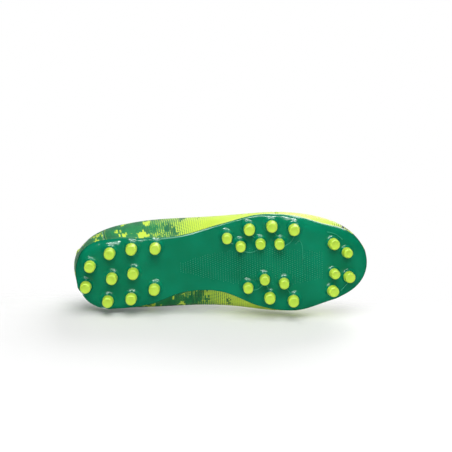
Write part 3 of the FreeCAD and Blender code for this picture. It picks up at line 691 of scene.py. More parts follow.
def sole_height(x, y):
    """Height of the plate's underside, with its bevel, stud pads and ribs."""
    edge = edge_tree.find(Vector((x, y, 0)))[2]
    low = side("sole_under", x)
    rise = side("rim_top", x) - low - EDGE_WALL
    pad = 0.0
    for sx, sy, r in all_studs:
        if abs(x - sx) < 14 and abs(y - sy) < 14:
            gap = math.hypot(x - sx, y - sy) - r - PAD_MARGIN
            pad = max(pad, smooth_step(1 - gap / PAD_BLEND))
    slope = min(max(1 - edge / BEVEL_WIDTH, 0), 1)
    height = low + rise * (1 - math.sqrt(1 - slope ** 2)) * (1 - pad)
    for line in RIBS:
        height -= RIB_HEIGHT * math.exp(-(line_distance(x, y, line) / RIB_HALF) ** 2)
    return height


def sole_place(angle, across, inset):
    """A place in plan: across runs from -1 at the lateral edge to 1 at the medial edge."""
    x, lateral = outline("lateral", angle, inset)
    medial = outline("medial", angle, inset)[1]
    return x, lateral + (medial - lateral) * (across + 1) / 2


# %% Plate mesh
ALONG_CELLS, ACROSS_CELLS = 300, 76


def plate_mesh():
    """The plate without its stud roots."""
    bm = bmesh.new()
    bmesh.ops.create_grid(bm, x_segments=ALONG_CELLS, y_segments=ACROSS_CELLS, size=0.5)
    turn_layer = bm.verts.layers.float.new("turn")
    across_layer = bm.verts.layers.float.new("across")
    for v in bm.verts:
        v[turn_layer] = (v.co.x + 0.5) * 180
        v[across_layer] = v.co.y * 2

    def settle(verts, inset, height):
        for v in verts:
            x, y = sole_place(v[turn_layer], v[across_layer], inset)
            v.co = (x, y, height(x, y))

    def rim(drop):
        return lambda x, y: side("rim_top", x) - drop

    settle(bm.verts, 0.9, sole_height)
    sheet = list(bm.faces)
    steps = [(0.2, rim(EDGE_WALL - 0.7)), (0.0, rim(0.8)), (0.2, rim(0.2)), (0.7, rim(0.0)), (1.25, rim(0.1)),
             (RIM_THICK, rim(0.5)), (RIM_THICK + 0.1, lambda x, y: side("sole_under", x) + PLATE_THICK)]
    for step, (inset, height) in enumerate(steps):
        grown = bmesh.ops.extrude_face_region(bm, geom=sheet)["geom"]
        if step:
            bmesh.ops.delete(bm, geom=sheet, context="FACES_ONLY")
        sheet = [f for f in grown if isinstance(f, bmesh.types.BMFace)]
        settle([v for v in grown if isinstance(v, bmesh.types.BMVert)], inset, height)
    loose = [v for v in bm.verts if not v.link_faces]
    bmesh.ops.delete(bm, geom=loose, context="VERTS")
    bmesh.ops.remove_doubles(bm, verts=bm.verts, dist=0.004)
    return bm


# %% [markdown]
# The studs stand on flared green roots that are part of the plate, and the lime tips are shot over them.
# Both are short profiles spun about the stud's axis. The toe studs lean with the toe spring.

# %% Stud roots and tips
LUG_HEIGHT, TOE_LUG_HEIGHT, TOE_ROOT_HEIGHT, TOE_SLOPE, ROOT_FLARE = 8.0, 6.5, 3.0, math.radians(14), 0.5


def stud_matrix(x, y, toe):
    """Puts a stud, modelled with its tip at the origin and its axis up, on the boot."""
    tip_z = side("sole_under", x) - TOE_ROOT_HEIGHT - TOE_LUG_HEIGHT if toe else 0.0
    return Matrix.Translation((x, y, tip_z)) @ Matrix.Rotation(-TOE_SLOPE if toe else 0.0, 4, "Y")


def stud_tip(r, height):
    """The lime tip: a dished end face, a rounded edge and a slightly flared side."""
    wide = r + ROOT_FLARE
    return spun([(0, 0.35), (r - 2.2, 0.3), (r - 1.5, 0.06), (r - 1.1, 0.0), (r - 0.45, 0.14), (r, 0.75),
                 (r + 0.12, 1.5), (wide - 0.1, height - 0.4), (wide, height), (0, height)], 40)


def stud_root(r, height, top):
    """The green root, which flares out into the sole."""
    wide = r + ROOT_FLARE
    return spun([(0, height), (wide + 0.15, height), (wide + 0.35, height + 0.25),
                 (wide + 0.55, height + 1.0), (wide + 1.1, top - 0.9), (wide + 2.0, top - 0.25),
                 (wide + 3.4, top + 0.15), (wide + 3.4, top + 0.8), (0, top + 0.8)], 40)


roots = []
for group, places in STUDS.items():
    toe = group == "stud_toe"
    height = TOE_LUG_HEIGHT if toe else LUG_HEIGHT
    for index, (x, y, r) in enumerate(places, 1):
        spot = stud_matrix(x, y, toe)
        tip = stud_tip(r, height)
        bmesh.ops.transform(tip, matrix=spot, verts=tip.verts)
        piece(f"tip_{group}_{index:02d}", tip, "shoe", [lime_tpu], [f"{group}_{index:02d}"])
        root = stud_root(r, height, height + TOE_ROOT_HEIGHT if toe else side("sole_under", x))
        bmesh.ops.transform(root, matrix=spot, verts=root.verts)
        roots.append(root)
plate = piece("sole_plate", joined([plate_mesh()] + roots), "shoe", [emerald_tpu],
              ["outsole_plate"], weld=0)
modifier(plate, "WEIGHTED_NORMAL", "even shading", keep_sharp=True)

# %% [markdown]
# Thin raised lines run across the forefoot, and along the ribs from stud to stud. They stand about a third
# of a millimetre up and are finer than the plate's own mesh, so each one is a thin strip laid on the sole.

# %% Raised lines
BEAD_WIDTH, BEAD_THICK = 0.75, 0.7


def raised_line(line):
    """A thin strip along one line of the sole, with its width square to the way that the line mostly runs."""
    (x0, y0), (x1, y1) = line[0], line[-1]
    across = Vector((0.3, 1, 0)) if abs(y1 - y0) < abs(x1 - x0) else Vector((1, 0.3, 0))
    spots = [Vector((x, y, sole_height(x, y))) for x, y in line]
    return strip(spots, 3, even(across), even(BEAD_WIDTH), even(BEAD_THICK), 30)


beads = [raised_line(line) for line in RIBS + LONG_LINES]
piece("sole_lines", joined(beads), "shoe", [grip_tpu_painted_highlight], weld=0)

# %% [markdown]
# Between the studs of the ball the bed carries rows of tiny raised dots. They are real, low and six sided,
# because there are several hundred of them.

# %% Grip dots
DOT_X, DOT_Y, DOT_R, DOT_CLEAR = 2.4, 2.1, 0.42, 4.5
DOT_COLUMNS, DOT_ROWS, FIRST_DOT = 58, 28, (-38, -30)


def holds_dot(x, y):
    """Whether a dot has its place here: in the field of the ball, off the bevel and clear of the studs."""
    half_field = 19 - 0.0021 * (x - 45) ** 2
    if abs(y + 6 - 0.02 * x) > half_field or edge_tree.find(Vector((x, y, 0)))[2] < BEVEL_WIDTH:
        return False
    return min(math.hypot(x - sx, y - sy) - r for sx, sy, r in all_studs) >= DOT_CLEAR


dot_places = [(FIRST_DOT[0] + DOT_X * i, FIRST_DOT[1] + DOT_Y * (j + i % 2 / 2))
              for i in range(DOT_COLUMNS) for j in range(DOT_ROWS)]
dot_places = [place for place in dot_places if holds_dot(*place)]
dots = bmesh.new()
for x, y in dot_places:
    spot = Matrix.Translation((x, y, sole_height(x, y) - 0.1)) @ Matrix.Rotation(math.pi, 4, "X")
    bmesh.ops.create_cone(dots, cap_ends=True, segments=6, radius1=DOT_R, radius2=DOT_R * 0.55, depth=0.5,
                          matrix=spot)
piece("grip_dots", dots, "shoe", [grip_tpu_painted_highlight], weld=0)
print(len(dot_places), "grip dots")

# %% [markdown]
# ## Upper
# The upper is cut as four panels: the vamp over the toes, a quarter for each side and a panel round the
# heel. Each one is a grid laid on the last between its two edges, then given its thickness inwards by a
# Solidify modifier, whose inner faces take the lining. Panels end a hair apart and roll in at their seams.

# %% Panel maker
SEAM_ROLL = 0.2


def lengths_along(points):
    """Running length at each of these points."""
    found = [0.0]
    for a, b in zip(points, points[1:]):
        found.append(found[-1] + (b - a).length)
    return found


@lru_cache(maxsize=None)
def climb(where, u):
    """Lengths up the wall at 32 even steps of v."""
    return lengths_along([last_point(where, u, k / 32) for k in range(33)])


GIRTH = {w: lengths_along([last_point(w, k / 64, 0.45) for k in range(65)]) for w in SIGN}


def measured(lengths, share):
    """The length at a share from 0 to 1 of an evenly stepped list."""
    place = min(max(share, 0), 0.999999) * (len(lengths) - 1)
    k = int(place)
    return lengths[k] + (lengths[k + 1] - lengths[k]) * (place - k)


def level(v):
    """An edge that stays at one v: 0 is the sole and 1 is the spine."""
    return lambda where, u: v


def top(where, u):
    """The upper edge of a panel that reaches the collar or the throat."""
    return top_edge(where, round(u, 6))


def lower_by(distance):
    """An edge a set distance below the top."""
    return lambda where, u: below_top(where, round(u, 6), distance)


def down_from_top(where, u, distance, offset):
    """A point of the upper a set distance below its top edge, moved out by offset."""
    return on_last(where, u, below_top(where, round(u, 6), distance), offset)


def laid(where, start, stop, low, high, cells, offset=0.0, seams=(0, 0)):
    """A grid on one side of the last between two edges. seams says which ends roll in."""
    def spot(s, t):
        u = start + (stop - start) * s
        v_low, v_high = low(where, u), high(where, u)
        roll = SEAM_ROLL * (seams[0] * math.exp(-s * 60) + seams[1] * math.exp(-(1 - s) * 60))
        return on_last(where, u, v_low + (v_high - v_low) * t, offset - roll)

    def flat(s, t):
        u = start + (stop - start) * s
        up = measured(climb(where, round(u, 6)), low(where, u) * (1 - t) + high(where, u) * t)
        return SIGN[where] * measured(GIRTH[where], u), up

    made = draped(*cells, spot, flat)
    if where == "lateral":
        bmesh.ops.reverse_faces(made, faces=made.faces)
    return made


def pierce(bm, spots, radius):
    """Removes the faces round each eyelet."""
    bad = [f for f in bm.faces if any((f.calc_center_median() - spot).length < radius for spot in spots)]
    bmesh.ops.delete(bm, geom=bad, context="FACES")
    return bm


def skin(name, parts, materials, replaces, thick):
    """A sheet piece with its thickness added inwards."""
    made = piece(name, joined(parts), "shoe", materials, replaces, outward=False, weld=0.02)
    modifier(made, "SOLIDIFY", "thickness", thickness=thick * MM, offset=-1.0, use_even_offset=False,
             material_offset=len(materials) - 1)
    return made


EYELETS, EYELET_IN, EYELET_R = 6, 7.0, 2.1
eyelet_u = [VAMP_END + 0.026 + (THROAT_TOP - VAMP_END - 0.045) * i / (EYELETS - 1) for i in range(EYELETS)]
eyelet_v = {w: [below_top(w, u, EYELET_IN) for u in eyelet_u] for w in SIGN}
eyelet_spots = {w: [last_point(w, u, v) for u, v in zip(eyelet_u, eyelet_v[w])] for w in SIGN}

# %% Upper panels
GAP_U = 0.0002
both = ("lateral", "medial")
skin("upper_vamp", [laid(w, 0.0, VAMP_END - GAP_U, level(0.0), level(1.0), (56, 60), seams=(0, 1))
                    for w in both], [lime_knit, foam_back], ["vamp"], UPPER_THICK)
for where in both:
    sheet = laid(where, VAMP_END + GAP_U, HEEL_START - GAP_U, level(0.0), top, (110, 64), seams=(1, 1))
    skin(f"upper_quarter_{where}", [pierce(sheet, eyelet_spots[where], EYELET_R)],
         [lime_knit, foam_back], [f"quarter_{where}"], UPPER_THICK)
skin("upper_heel_panel", [laid(w, HEEL_START + GAP_U, 1.0, level(0.0), top, (30, 52), seams=(1, 0))
                          for w in both], [lime_knit, foam_back], ["heel_panel"], UPPER_THICK)

# %% [markdown]
# ### Eyelet facings
# A thin moulded film is fused over the knit on each side of the throat, because the eyelets would tear the
# knit. Each eyelet is a turned ring, spun from its section and set square to the film.

# %% Facings and eyelets
FILM_LIFT, FILM_THICK, FILM_WIDTH = 0.12, 1.0, 14.0
RING_SECTION = [(EYELET_R, -1.7), (EYELET_R, 1.45), (2.35, 1.72), (3.0, 1.82), (3.6, 1.6), (3.8, 1.2),
                (2.7, 1.14), (2.5, -1.7)]

for where in both:
    sheet = laid(where, VAMP_END + 0.012, THROAT_TOP - 0.002, lower_by(FILM_WIDTH), lower_by(0.4),
                 (90, 18), offset=FILM_LIFT + FILM_THICK)
    spots = [on_last(where, u, v, FILM_LIFT + FILM_THICK) for u, v in zip(eyelet_u, eyelet_v[where])]
    facing = skin(f"facing_{where}", [pierce(sheet, spots, EYELET_R)], [facing_film],
                  [f"eyestay_{where}"], FILM_THICK)
    modifier(facing, "BEVEL", "soft edge", width=0.25 * MM, segments=2, limit_method="ANGLE")
    rings = []
    for u, v in zip(eyelet_u, eyelet_v[where]):
        ring = spun(RING_SECTION, 28, ring=True)
        turned = last_normal(where, u, v).to_track_quat("Z", "X").to_matrix().to_4x4()
        seat = Matrix.Translation(last_point(where, u, v)) @ turned
        bmesh.ops.transform(ring, matrix=seat, verts=ring.verts)
        rings.append(ring)
    piece(f"eyelet_rings_{where}", joined(rings), "shoe", [rim_metal], weld=0)

# %% [markdown]
# ### Tongue
# The tongue is a thin pad that hangs from the end of the vamp under the throat, with a bound free end and a
# keeper loop for the lace. Its section is an arch across the instep, thinner at its sides, and it swells
# between its sewn rows. It rides on its own body, because it hinges where it is sewn in.

# %% Tongue
TONGUE_DROP, TONGUE_THICK, TONGUE_ROWS = 4.9, 3.2, 12
TONGUE_ENDS = [(9.0, 0.96), (19.0, 0.9), (25.0, 0.78)]


def instep_point(u, y, offset):
    """A point over or under the instep at a signed distance y from the spine."""
    where = "medial" if y > 0 else "lateral"
    v = 1.0 if abs(y) < 1e-6 else solve_v(where, u, abs(y), lambda p: abs(p.y), 0.35, 1.0)
    return on_last(where, u, v, offset)


tongue_spine = []                         # crown, sag at 17 mm and half width of each row
for k in range(TONGUE_ROWS):
    u = VAMP_END - 0.012 + (THROAT_TOP - 0.008 - VAMP_END) * k / (TONGUE_ROWS - 1)
    crown = instep_point(u, 0.0, -TONGUE_DROP)
    foot = (instep_point(u, 17.0, -TONGUE_DROP) + instep_point(u, -17.0, -TONGUE_DROP)) / 2
    tongue_spine.append((crown, foot - crown, 13.3 + 3.4 * k / (TONGUE_ROWS - 1)))
ahead = (tongue_spine[-1][0] - tongue_spine[-3][0]).normalized()
last_crown, last_sag, last_half = tongue_spine[-1]
for reach, shrink in TONGUE_ENDS:
    tongue_spine.append((last_crown + ahead * reach, last_sag, last_half * shrink))


def tongue_point(along, across, lift):
    """A point of the tongue: along and across from 0 to 1 and from -1 to 1, lifted off its outer face."""
    place = min(along, 0.99999) * (len(tongue_spine) - 1)
    k, t = int(place), place - int(place)
    crown, sag, half = [a.lerp(b, t) if isinstance(a, Vector) else a + (b - a) * t
                        for a, b in zip(tongue_spine[k], tongue_spine[k + 1])]
    half *= math.sqrt(max(1 - max(along - 0.93, 0) ** 2 / 0.07 ** 2 * 0.45, 0))
    part = (half * across / 17.0) ** 2
    before, after = tongue_spine[max(k - 1, 0)][0], tongue_spine[min(k + 2, len(tongue_spine) - 1)][0]
    run = (after - before).normalized()
    out = Vector((-run.z, 0, run.x)) * (-1 if run.x < 0 else 1)
    return Vector((crown.x + sag.x * part, half * across, crown.z + sag.z * part)) + out * lift


def tongue_place(s, t):
    """Round the tongue's section: t up to a half runs over its outer face and then back under it."""
    across = math.cos(t * math.tau)
    edge = math.sqrt(max(1 - across ** 8, 0)) * math.sqrt(max(1 - (2 * s - 1) ** 16, 0))
    swell = 0.35 * abs(math.sin(s * math.pi * 7)) * edge
    side_of = 1 if t < 0.5 else -1
    lift = -TONGUE_THICK / 2 + side_of * (TONGUE_THICK / 2 - 0.35 + swell) * edge
    return tongue_point(s, across, lift)


tongue = piece("tongue_pad", draped(96, 48, tongue_place, lambda s, t: (95 * s, 68 * t)), "tongue_body",
               [lime_tongue], ["tongue"], weld=0.01)

free_edge = [tongue_point(0.965 - 0.16 * abs(a) ** 3, a, -TONGUE_THICK / 2)
             for a in [i / 10 - 1 for i in range(21)]]
tape = strip(free_edge, 6, even(Vector((0.3, 0, 1))), even(TONGUE_THICK + 1.1), even(2.2), 60)
piece("tongue_binding", tape, "tongue_body", [binding], weld=0)
KEEPER_ARCH = [(-0.62, -0.6), (-0.52, 0.35), (-0.25, 0.75), (0, 0.8), (0.25, 0.75), (0.52, 0.35),
               (0.62, -0.6)]
keeper = [tongue_point(0.62, across, lift) for across, lift in KEEPER_ARCH]
piece("lace_keeper", strip(keeper, 9, even(ahead), even(9.0), even(0.8), 40), "tongue_body",
      [webbing], weld=0)

# %% [markdown]
# ### Lace
# One flat lace zigzags up the throat. It starts as a bar over the lowest pair of eyelets, goes down through
# them, and from then on each run dives under the facing and comes up through the next eyelet. The runs that
# cross are set at two heights so that they touch without cutting through each other. Where the lace goes
# through an eyelet it is gathered narrow. It is held all the way, and its ends are tucked inside the throat.

# %% Lace
LACE_WIDTH, LACE_THICK, GATHERED = 5.6, 1.3, 3.0
UNDER, OVER = -3.25, 2.0


def through_eyelet(where, i):
    """From under the facing up through an eyelet and over the facing's edge."""
    steps = [(EYELET_IN, UNDER), (EYELET_IN, 0.2), (EYELET_IN - 1.1, OVER + 0.6),
             (EYELET_IN - 3.5, OVER + 0.15), (1.0, OVER)]
    return [down_from_top(where, eyelet_u[i], down, offset) for down, offset in steps]


def under_facing(where, i):
    """From the throat's edge to under an eyelet."""
    u = eyelet_u[i]
    return [down_from_top(where, u - 0.004, -1.2, -2.6), down_from_top(where, u - 0.002, 2.5, UNDER + 0.1),
            down_from_top(where, u, EYELET_IN, UNDER)]


def lace_widths(gathered_start, gathered_end):
    """The width along a run, gathered where it passes an eyelet."""
    def width(s):
        start = math.exp(-(s / 0.16) ** 4) * gathered_start
        end = math.exp(-((1 - s) / 0.16) ** 4) * gathered_end
        return LACE_WIDTH + (GATHERED - LACE_WIDTH) * max(start, end)
    return width


def lace_piece(points, gathered):
    """One run of the lace, thicker where it is gathered."""
    width = lace_widths(*gathered)

    def thick(s):
        return LACE_THICK * (1 + 0.45 * (LACE_WIDTH - width(s)) / (LACE_WIDTH - GATHERED))

    return strip(points, 6, even(ahead), width, thick, 54)


first = eyelet_u[0]
bar = through_eyelet("lateral", 0) + [instep_point(first, 0, OVER + 0.1)] + through_eyelet("medial", 0)[::-1]
runs = [lace_piece(bar, (1, 1))]
for i in range(EYELETS - 1):
    for where, other, height in (("lateral", "medial", 0.1), ("medial", "lateral", -1.75)):
        if i == 0:
            start = [down_from_top(where, first, EYELET_IN, UNDER),
                     down_from_top(where, first + 0.002, 2.5, UNDER + 0.1),
                     down_from_top(where, first + 0.006, -1.2, -2.4)]
        else:
            start = through_eyelet(where, i)
        crown = instep_point((eyelet_u[i] + eyelet_u[i + 1]) / 2, 0, height)
        runs.append(lace_piece(start + [crown] + under_facing(other, i + 1), (1 if i else 0, 0)))
for where in both:
    tail = through_eyelet(where, EYELETS - 1)
    u = eyelet_u[-1]
    tail += [down_from_top(where, u + 0.004, -2.2, -0.6), down_from_top(where, u + 0.008, -1.5, -3.1),
             down_from_top(where, u + 0.012, 4.0, UNDER - 0.1)]
    runs.append(lace_piece(tail, (1, 0)))
piece("lace_runs", joined(runs), "shoe", [lace_weave], ["shoelace"], weld=0)

# %% [markdown]
# ### Collar padding
# The collar is foam wrapped in spacer mesh. It is turned over the upper's edge and sewn down, is thickest a
# little below the top line, and swells on either side of the heel. It is one closed section carried round
# the ankle, with a sewn channel that pulls it in halfway down.

# %% Collar padding
COLLAR_START = 0.598
COLLAR_SECTION = [(26, -2.15), (20, -2.1), (12, -2.1), (5, -2.1), (1, -1.9), (-0.5, -1.2), (-0.45, 0.15),
                  (1.5, 0.25), (2.6, 0.35), (2.2, 0.85), (0.4, 0.95), (-1.2, 0.4), (-1.9, -1.2),
                  (-1.4, -3.2), (0.6, -5.1), (4, -6.6), (8.5, -7.3), (12.4, -6.7), (14, -6.3),
                  (15.6, -6.6), (19, -6.5), (23, -4.9), (25.6, -3.0)]
PAD_DEPTH, COVER_DEPTH = 5.2, 2.1         # the foam's depth at its crown, and the depth of its sewn cover


def collar_section(at):
    """A point of the closed section as (mm below the top edge, offset from the last)."""
    count = len(COLLAR_SECTION)
    place = (at % 1) * count
    k, t = int(place), place - int(place)
    return smooth_between([Vector(COLLAR_SECTION[(k + j - 1) % count]) for j in range(4)], t)


def collar_place(where):
    """Carries the section round one side of the ankle."""
    def spot(s, t):
        u = COLLAR_START + (1 - COLLAR_START) * s
        down, offset = collar_section(t)
        inner = min(max((-offset - COVER_DEPTH) / PAD_DEPTH, 0), 1)
        swell = 1 + 0.18 * math.exp(-((u - 0.9) / 0.045) ** 2) - 0.25 * math.exp(-((1 - u) / 0.02) ** 2)
        thin = smooth_step(s / 0.12)
        offset -= inner * PAD_DEPTH * (swell * (0.35 + 0.65 * thin) - 1)
        return down_from_top(where, u, down, offset)
    return spot


collar = joined([draped(110, 69, collar_place(w), lambda s, t: (130 * s, 62 * t)) for w in both])
bmesh.ops.remove_doubles(collar, verts=collar.verts, dist=0.01)
bmesh.ops.holes_fill(collar, edges=[e for e in collar.edges if e.is_boundary], sides=0)
collar = piece("collar_padding", collar, "shoe", [green_lining], ["collar_lining"], weld=0)

# %% [markdown]
# ### Heel lining
# Under the padding a sheet of the same spacer mesh covers the stiff counter down to the footbed.

# %% Heel lining
COUNTER_INSIDE, LINING_THICK, LINING_FOOT = -3.35, 0.6, 0.06
skin("heel_lining", [laid(w, 0.66, 1.0, level(LINING_FOOT), lower_by(22), (44, 26), offset=COUNTER_INSIDE)
                     for w in both], [green_lining], (), LINING_THICK)

# %% [markdown]
# ### Sock liner
# The sock liner is a removable foam footbed with a cupped heel. It is two sheets over the sole's plan that
# meet at a soft edge.

# %% Sock liner
LINER_INSET, LINER_BASE, LINER_THICK, CUP_RISE = 7.0, 4.15, 4.0, 4.0


def liner_place(side_of):
    """One face of the footbed: 1 for its top and -1 for its underside."""
    def spot(s, t):
        angle, across = s * 180, 2 * t - 1
        x, y = sole_place(angle, across, LINER_INSET)
        rim = abs(across) > 1 - 1e-6 or s < 1e-6 or s > 1 - 1e-6
        edge = 0 if rim else max(edge_tree.find(Vector((x, y, 0)))[2] - LINER_INSET, 0.3)
        cup = CUP_RISE * math.exp(-(edge / 6) ** 2) * (0.35 + 0.65 * smooth_step((-x - 20) / 60))
        half = LINER_THICK / 2 * math.sqrt(1 - (1 - min(edge / 3, 1)) ** 2)
        z = side("sole_under", x) + LINER_BASE + LINER_THICK / 2 + cup + side_of * half
        return Vector((x, y, z))
    return spot


faces = [draped(110, 34, liner_place(side_of), lambda s, t: (270 * s, 80 * t)) for side_of in (1, -1)]
piece("footbed", joined(faces), "shoe", [liner_cloth], ["sock_liner"], weld=0.02)

# %% [markdown]
# ### Pull tab
# A folded webbing loop stands up from the back of the collar. The loop bends on its own body, and its sewn
# base lies flat on the heel panel, held by a box of stitches.

# %% Pull tab
tab_low, tab_high = (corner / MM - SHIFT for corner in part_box("pull_tab"))
tab_x, tab_wide = (tab_low.x + tab_high.x) / 2, tab_high.y - tab_low.y
TAB_LOOP = [(0.5, 0.0), (0.75, 4.0), (1.5, 8.5), (1.35, 12.5), (0.6, 14.6), (-0.3, 14.9), (-1.1, 13.6),
            (-1.5, 10.5), (-1.1, 5.5), (-0.5, 0.0)]
loop = [Vector((tab_x + x, 0, tab_low.z + z)) for x, z in TAB_LOOP]
piece("pull_tab_loop", strip(loop, 6, even(Vector((0, 1, 0))), even(tab_wide), even(0.9), 60), "tab_body",
      [webbing], ["pull_tab"], weld=0)


def heel_spot(y, down, offset):
    """A place on the back of the heel, y mm from the middle and down mm below the top edge."""
    where = "medial" if y > 0 else "lateral"
    u = 1 - math.asin(min(abs(y) / 60.0, 1)) / math.pi
    return down_from_top(where, u, down, offset)


base_sheet = draped(14, 16, lambda s, t: heel_spot((s - 0.5) * tab_wide, 13.5 - 10.6 * t, 1.0),
                    lambda s, t: (tab_wide * s, 11 * t))
base = piece("pull_tab_base", base_sheet, "shoe", [binding], outward=False, weld=0)
modifier(base, "SOLIDIFY", "thickness", thickness=0.85 * MM, offset=-1.0)

# %% [markdown]
# ### Stitches
# Each stitch is a short six sided capsule laid on its seam, about 2 mm long, and all the stitches of one
# thread are one piece.

# %% Stitches
STITCH, STITCH_GAP, THREAD_R = 1.9, 2.8, 0.26


def stitched(points):
    """Short capsules along a line of points."""
    bm = bmesh.new()
    start = points[0]
    for point in points[1:]:
        if (point - start).length < STITCH_GAP:
            continue
        run = (point - start).normalized()
        turned = run.to_track_quat("Z", "X").to_matrix().to_4x4()
        spot = Matrix.Translation(start + run * STITCH / 2) @ turned
        bmesh.ops.create_uvsphere(bm, u_segments=6, v_segments=4, radius=THREAD_R,
                                  matrix=spot @ Matrix.Diagonal((1, 1, STITCH / 2 / THREAD_R, 1)))
        start = point
    return bm


def seam_line(where, u_from, u_to, down, offset, steps=400):
    """Points along the upper, a set distance below its top edge."""
    places = [u_from + (u_to - u_from) * k / steps for k in range(steps + 1)]
    return [down_from_top(where, u, down, offset) for u in places]


def upright_line(where, u, v_from, v_to, offset, steps=300):
    """Points up the wall of the upper."""
    return [on_last(where, u, v_from + (v_to - v_from) * k / steps, offset) for k in range(steps + 1)]


green_rows, lime_rows, film = [], [], FILM_LIFT + FILM_THICK
for where in both:
    lime_rows.append(stitched(seam_line(where, VAMP_END + 0.014, THROAT_TOP - 0.004, 12.8, film)))
    lime_rows.append(stitched(seam_line(where, VAMP_END + 0.02, THROAT_TOP - 0.004, 1.6, film)))
    green_rows.append(stitched(seam_line(where, COLLAR_START + 0.004, 1.0, 4.2, 0.0)))
    for u in (VAMP_END - 0.007, VAMP_END + 0.007):
        v_stop = 0.97 if u < VAMP_END else below_top(where, u, 1.0)
        lime_rows.append(stitched(upright_line(where, u, 0.17, v_stop, 0.0)))
    for u in (HEEL_START - 0.006, HEEL_START + 0.006):
        lime_rows.append(stitched(upright_line(where, u, 0.17, below_top(where, u, 5.0), 0.0)))
tab_box = [(-4.8, 4), (4.8, 4), (4.8, 12.4), (-4.8, 12.4), (-4.8, 4), (4.8, 12.4)]
for (y0, d0), (y1, d1) in zip(tab_box, tab_box[1:]):
    shares = [k / 60 for k in range(61)]
    green_rows.append(stitched([heel_spot(y0 + (y1 - y0) * t, d0 + (d1 - d0) * t, 1.0) for t in shares]))
piece("stitches_green", joined(green_rows), "shoe", [thread], weld=0)
piece("stitches_lime", joined(lime_rows), "shoe", [binding], weld=0)

# %% [markdown]
# ### Pieces kept from the CAD
# The insole board, the toe puff and the heel counter have their real shape in the CAD model, so they stay
# and only get their finish.

# %% Finishes on the CAD pieces
for name, material in (("insole_board", fibre_board), ("toe_puff", stiffener), ("heel_counter", stiffener)):
    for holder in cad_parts[name].material_slots:
        holder.material = material
    print(name, "is", material.name)

# %% [markdown]
# ## Floor and light
# The boot lies on its side in the main view, so the floor it touches there is the plane at its medial side,
# with its face to the boot. A second pale floor, which only the camera sees, lies under the studs for the
# views from above. Both are clear from behind. Four large soft lights stand round the boot, two for the sole
# and two for the upper, and two small ones only show as bright lines on the edge of the sole.

# %% Floors
def floor(name, size, matrix, only_camera, glow, tone):
    """A pale plane that is clear from behind and fades out upwards and far from the boot."""
    bm = bmesh.new()
    bmesh.ops.create_grid(bm, x_segments=1, y_segments=1, size=size)
    bmesh.ops.transform(bm, matrix=matrix, verts=bm.verts)
    mesh = bpy.data.meshes.new(name)
    bm.to_mesh(mesh)
    bm.free()
    made = bpy.data.objects.new(name, mesh)
    scene.collection.objects.link(made)
    paint = bpy.data.materials.new(name + "_paint")
    paint.use_nodes = True
    tree = paint.node_tree
    paper = tree.nodes["Principled BSDF"]
    for key, value in {"Base Color": (tone, tone, tone, 1), "Roughness": 0.8, "Emission Color": (1, 1, 1, 1),
                       "Emission Strength": glow}.items():
        paper.inputs[key].default_value = value
    clear = node(tree, "ShaderNodeBsdfTransparent")
    behind = node(tree, "ShaderNodeNewGeometry").outputs["Backfacing"]
    place = node(tree, "ShaderNodeTexCoord").outputs["Object"]
    height = node(tree, "ShaderNodeSeparateXYZ", Vector=place).outputs["Z"]
    far = node(tree, "ShaderNodeVectorMath", {"operation": "LENGTH"}, i0=place).outputs["Value"]
    hidden = behind
    for distance, start, stop in ((height, 0.01, 0.09), (far, 0.35, 0.8)):
        faded = node(tree, "ShaderNodeMapRange", {"interpolation_type": "SMOOTHSTEP"}, Value=distance,
                     From_Min=start, From_Max=stop).outputs[0]
        hidden = node(tree, "ShaderNodeMath", {"operation": "MAXIMUM"}, i0=hidden, i1=faded).outputs[0]
    mixed = node(tree, "ShaderNodeMixShader", Fac=hidden, i1=paper.outputs[0], i2=clear.outputs[0])
    tree.links.new(mixed.outputs[0], tree.nodes["Material Output"].inputs["Surface"])
    mesh.materials.append(paint)
    if only_camera:
        made.visible_shadow = made.visible_diffuse = made.visible_glossy = made.visible_transmission = False
    return made


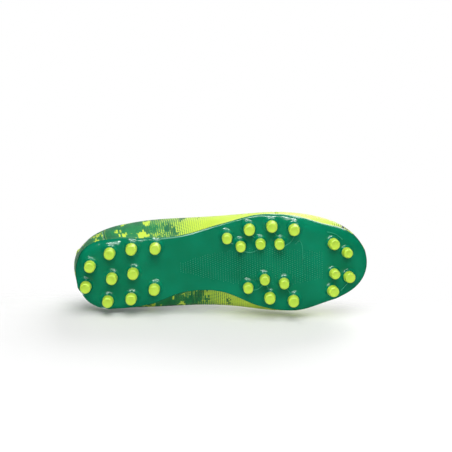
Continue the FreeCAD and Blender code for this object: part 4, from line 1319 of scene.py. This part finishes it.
floor("ground_floor", 3.0, Matrix.Identity(4), only_camera=True, glow=0.35, tone=1.0)
SIDE_TURN = math.radians(3.4)
across_floor = Vector((-math.sin(SIDE_TURN), math.cos(SIDE_TURN), 0))
reach = max(across_floor.dot(v.co) for name in ("quarter_medial", "vamp", "heel_panel", "outsole_plate")
            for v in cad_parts[name].data.vertices)
side_floor_place = (Matrix.Translation(across_floor * (reach + 0.0006) + Vector((0, 0, -1.38)))
                    @ Matrix.Rotation(SIDE_TURN, 4, "Z") @ Matrix.Rotation(math.radians(90), 4, "X"))
side_floor = floor("side_floor", 1.5, side_floor_place, only_camera=False, glow=0.03, tone=0.76)
side_floor.visible_glossy = False         # keeps its reflection out of the flat of the sole

# %% Lights and world
def soft_light(name, spot, aim_at, size, power):
    """An area light at spot that faces aim_at."""
    data = bpy.data.lights.new(name, "AREA")
    data.shape, data.size, data.energy = "SQUARE", size, power
    made = bpy.data.objects.new(name, data)
    scene.collection.objects.link(made)
    made.location = spot
    made.rotation_mode = "QUATERNION"
    made.rotation_quaternion = (Vector(aim_at) - Vector(spot)).to_track_quat("-Z", "Y")
    return made


soft_light("key", (0.1, -1.1, -0.45), (0, 0, 0.02), 1.0, 11.5)
soft_light("sole_fill", (0.1, -1.25, -1.6), (0, 0, 0.02), 0.9, 14)
soft_light("top_light", (0.5, -0.8, 1.3), (0, 0, 0.05), 1.0, 16)
soft_light("rear_light", (-0.8, 1.0, 0.9), (0, 0, 0.05), 0.9, 10)
for name, x in (("edge_strip_heel", -0.35), ("edge_strip_toe", 0.35)):
    strip_light = soft_light(name, (x, -1.05, -0.62), (0, 0, 0.02), 0.3, 9)
    strip_light.visible_diffuse = False

world = bpy.data.worlds.new("studio")
scene.world = world
world.use_nodes = True
tree = world.node_tree
rays = node(tree, "ShaderNodeLightPath").outputs
indirect = node(tree, "ShaderNodeMix", i0=rays["Is Glossy Ray"], i2=0.27, i3=0.015)
strength = node(tree, "ShaderNodeMix", i0=rays["Is Camera Ray"], i2=indirect.outputs[0], i3=1.0)
tree.links.new(strength.outputs[0], tree.nodes["Background"].inputs["Strength"])
tree.nodes["Background"].inputs["Color"].default_value = (1, 1, 1, 1)
scene.view_settings.view_transform = "Standard"
